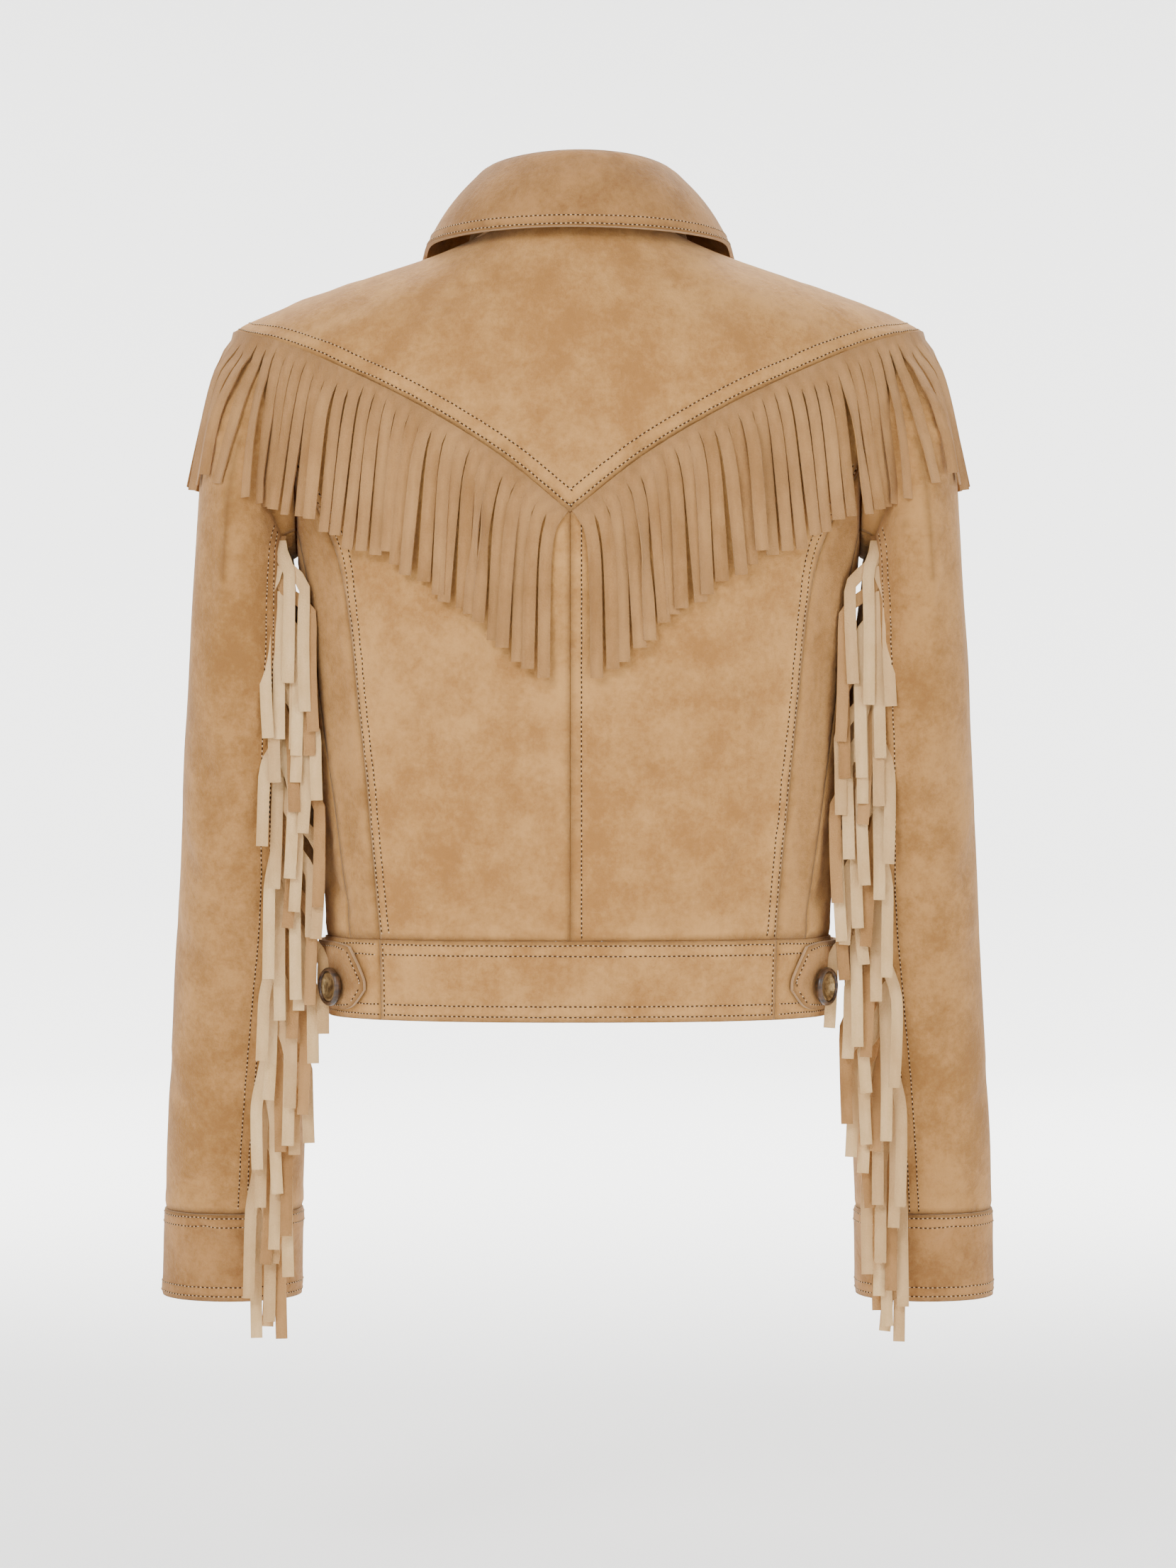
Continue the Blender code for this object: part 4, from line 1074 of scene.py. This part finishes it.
class Sewing:
    """Rows of topstitching gathered into one piece."""

    def __init__(self):
        self.rows = []
        self.count = 0

    def row(self, seam_node, near, insets, on=None, trim=(2.0, 2.0), half=0):
        """Rows beside a seam, at distances in millimetres into a piece; half keeps one side."""
        on = on or seam_node
        walk = Along(seam_line(seam_node, near))
        skin = surfaces[on]
        place, out, way = walk.at(walk.long * 0.5)
        test = out.cross(way).normalized() * (insets[-1] * MM)
        wrong_way = skin.find_nearest(place + test)[3] > skin.find_nearest(place - test)[3]
        sign = -1.0 if wrong_way else 1.0
        for inset in insets:
            row = bmesh.new()
            hole = row.verts.layers.float.new("hole")
            start, end = trim[0] * MM, walk.long - trim[1] * MM
            number = max(1, int((end - start) / STITCH_PITCH))
            for k in range(number):
                place, out, way = walk.at(start + (end - start) * (k + 0.5) / number)
                into = out.cross(way).normalized() * sign
                wanted = place + into * (inset + 0.12 * uneven(k, inset)) * MM + out * 0.0012
                found, found_out, _, away = skin.find_nearest(wanted)
                if found_out.dot(out) < 0.2 or away > 0.005 or half * (found.x - V_POINT) < 0:
                    continue
                along = (way - found_out * way.dot(found_out)).normalized()
                across = found_out.cross(along)
                basis = Matrix((along, across, found_out)).transposed().to_4x4()
                basis.translation = found + found_out * 0.0001
                bead(row, basis, STITCH_LONG / 2, STITCH_WIDE / 2, 0.00042)
                # The flatter bead is painted shade in the dent where the thread goes in.
                basis.translation = basis.translation + along * STITCH_PITCH / 2
                for vert in bead(row, basis, STITCH_PITCH * 0.33, STITCH_WIDE * 0.6, 0.00024):
                    vert[hole] = 1.0
                self.count += 1
            self.rows.append(row)

    def finish(self, name):
        whole = bmesh.new()
        for row in self.rows:
            mesh = mesh_of(row, "row")
            whole.from_mesh(mesh)
            bpy.data.meshes.remove(mesh)
        mesh = mesh_of(whole, name)
        mesh.shade_smooth()
        mesh.materials.append(thread.material)
        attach(in_scene(name, mesh), "root")
        print(name, self.count, "stitches")


# %% [markdown]
# The rows follow the photograph: two above the yoke's edge, one beside the centre seam, two
# beside each side seam, four round the waistband, two up each sleeve and four round each cuff.
# Placket, collar and tabs have rows along their own edges.

# %% Topstitching of body and yoke
YOKE_ROWS, BAND_TOP, BAND_HEM = (2.7, 10.5), (2.4, 8.8), (3.2, 9.6)
body_rows = Sewing()
for side in (1, -1):
    name = "left" if side > 0 else "right"
    body_rows.row("back_yoke", mirrored(BACK_YOKE_EDGE, side), YOKE_ROWS, half=side)
    body_rows.row("front_yoke_" + name, mirrored(FRONT_YOKE_EDGE, side), YOKE_ROWS)
    body_rows.row("back_side_" + name, (side * 137, 68, -282), (1.7, 7.2),
                  on="back_centre_" + name)
    body_rows.row("waistband_back", (side * 119, 73, -451), (2.2,), trim=(3, 3))
    body_rows.row("waistband_front_" + name, (side * 116, -30, -426), BAND_TOP)
    body_rows.row("waistband_front_" + name, (side * 116, -30, -474), BAND_HEM)
body_rows.row("back_centre_right", (4, 104, -295), (6.5,))
body_rows.row("waistband_back", (0, 89, -426), BAND_TOP)
body_rows.row("waistband_back", (0, 88, -474), BAND_HEM)
for side in (1, -1):
    body_rows.row("placket", (side * 15, -107, -211), (2.0, 7.0))
body_rows.finish("body_topstitching")

# %% Topstitching of sleeves, collar and tabs
sleeve_rows = Sewing()
trim_rows = Sewing()
for side in (1, -1):
    name = "left" if side > 0 else "right"
    sleeve_rows.row("sleeve_upper_" + name, mirrored(SLEEVE_SEAM, side), (6.0, 12.0))
    sleeve_rows.row("cuff_" + name, (side * 221, -35, -599), (2.0, 8.0), trim=(0, 0))
    sleeve_rows.row("cuff_" + name, (side * 223, -40, -654), (3.0, 9.0), trim=(0, 0))
    for run in rims["side_tab_" + name]:
        middle = middle_of(run) / MM
        trim_rows.row("side_tab_" + name, middle, (2.6,), trim=(2.6, 2.6))
for run in rims["collar_fall"]:
    middle = middle_of(run) / MM
    if middle.z < 20:
        trim_rows.row("collar_fall", middle, (1.6, 7.0), trim=(2, 2))
sleeve_rows.finish("sleeve_topstitching")
trim_rows.finish("collar_and_tab_topstitching")

# %% [markdown]
# The shank buttons have a dark horn rim round a dished face of antique brass. A turned profile
# makes such a piece: half its section is drawn once and spun round the middle. It is then set
# on the plain button's own place and axis.

# %% Buttons
horn = Graph("dark_horn")
swirl = horn.cloud(120.0, 5.0, 0.65, horn.stretched((1.0, 1.0, 3.0)))
horn.surface("Base Color", horn.mix(swirl.between(0.35, 0.7), (0.022, 0.011, 0.006, 1),
                                    (0.11, 0.052, 0.022, 1)))
horn.surface("Roughness", swirl * 0.25 + 0.22)
horn.surface("Coat Weight", 0.1)
brass = Graph("antique_brass")
wear = brass.cloud(260.0, 5.0, 0.65)
brush = brass.cloud(1400.0, 2.0, 0.5)
brass.surface("Base Color", brass.mix(wear.between(0.35, 0.65), (0.13, 0.078, 0.032, 1),
                                      (0.42, 0.29, 0.14, 1)))
brass.surface("Roughness", wear * 0.3 + 0.24)
brass.surface("Normal", brass.bump(brush + wear, 0.00025))
brass.surface("Metallic", 0.92)

RIM_PROFILE = ((0.0, -0.5), (0.60, -0.5), (0.86, -0.42), (0.97, -0.18), (1.0, 0.08),
               (0.985, 0.30), (0.93, 0.46), (0.85, 0.50), (0.79, 0.44), (0.765, 0.30),
               (0.76, 0.16))
FACE_PROFILE = ((0.76, 0.16), (0.745, 0.28), (0.71, 0.33), (0.66, 0.34), (0.60, 0.22),
                (0.48, 0.06), (0.32, -0.04), (0.16, -0.09), (0.0, -0.10))


def turned(mesh, profile, radius, height, basis, material):
    """Profile spun round its axis."""
    points = [mesh.verts.new(basis @ Vector((r * radius, 0.0, h * height))) for r, h in profile]
    edges = [mesh.edges.new(pair) for pair in zip(points, points[1:])]
    axis = (basis.to_3x3() @ Vector((0, 0, 1))).normalized()
    before = set(mesh.faces)
    bmesh.ops.spin(mesh, geom=points + edges, cent=basis.translation, axis=axis,
                   angle=2 * math.pi, steps=48, use_merge=True)
    bmesh.ops.remove_doubles(mesh, verts=mesh.verts, dist=0.00001)
    for face in set(mesh.faces) - before:
        face.material_index = material
        face.smooth = True


def button(node):
    """Turned button on the place and axis of the plain one."""
    plain = np.array([v.co[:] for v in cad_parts[node].data.vertices])
    middle = (plain.min(0) + plain.max(0)) / 2
    middle = plain.mean(0) if np.linalg.norm(plain.mean(0) - middle) < 0.001 else middle
    axis = np.linalg.svd(plain - middle)[2][2]
    away = outward_of(np.array([middle]), "body")[0]
    axis = Vector(axis if axis @ away > 0 else -axis)
    spread = (plain - middle) @ np.array(axis[:])
    flat = (plain - middle) - np.outer(spread, axis[:])
    radius = float(np.linalg.norm(flat, axis=1).max())
    height = float(spread.max() - spread.min())
    basis = axis.to_track_quat("Z", "Y").to_matrix().to_4x4()
    basis.translation = Vector(middle) + axis * float((spread.max() + spread.min()) / 2)
    shape = bmesh.new()
    turned(shape, RIM_PROFILE, radius, height, basis, 0)
    turned(shape, FACE_PROFILE, radius, height, basis, 1)
    bmesh.ops.recalc_face_normals(shape, faces=shape.faces)
    mesh = mesh_of(shape, node)
    mesh.materials.append(horn.material)
    mesh.materials.append(brass.material)
    in_place_of(node, "_turned", mesh)
    return radius, height


for node in ["tab_button_left", "tab_button_right"] + ["front_button_%d" % i for i in range(1, 7)]:
    radius, height = button(node)
print("last button", round(radius * 2000, 1), "mm across,", round(height * 1000, 1), "mm thick")

# %% [markdown]
# A maker cuts flat leather before sewing, so every piece is listed with the size of its cut.
# Curved cuts also state their area, and the areas are added up.

# %% List the cut of every piece
# Rows with a name that ends in _ stand for a left and a right piece.
CUTS = (("back_yoke", 0.468, 0.185, 0.0554), ("front_yoke_", 0.215, 0.150, 0.0221),
        ("back_centre_left", 0.165, 0.335, 0.0453), ("back_centre_right", 0.174, 0.335, 0.0482),
        ("back_side_", 0.062, 0.300, 0.0092), ("front_", 0.290, 0.350, 0.0772),
        ("placket", 0.030, 0.434, 0.0129), ("waistband_back", 0.247, 0.048, 0.0118),
        ("waistband_front_", 0.286, 0.048, 0.0137), ("side_tab_", 0.132, 0.044, 0.0053),
        ("collar_stand", 0.455, 0.036, 0.0155), ("collar_fall", 0.470, 0.078, 0.0320),
        ("sleeve_upper_", 0.300, 0.545, 0.1146), ("sleeve_under_", 0.098, 0.430, 0.0366),
        ("cuff_", 0.282, 0.055, 0.0153), ("back_fringe_left", 0.282, 0.118, 0.0271),
        ("back_fringe_right", 0.290, 0.118, 0.0278), ("front_fringe_", 0.278, 0.112, 0.0262),
        ("sleeve_fringe_", 0.425, 0.098, 0.0290))
areas = []
for name, width, length, area in CUTS:
    for side in ("left", "right") if name.endswith("_") else ("",):
        areas.append(area)
print(len(areas), "cuts,", round(sum(areas), 3), "square metres of leather")
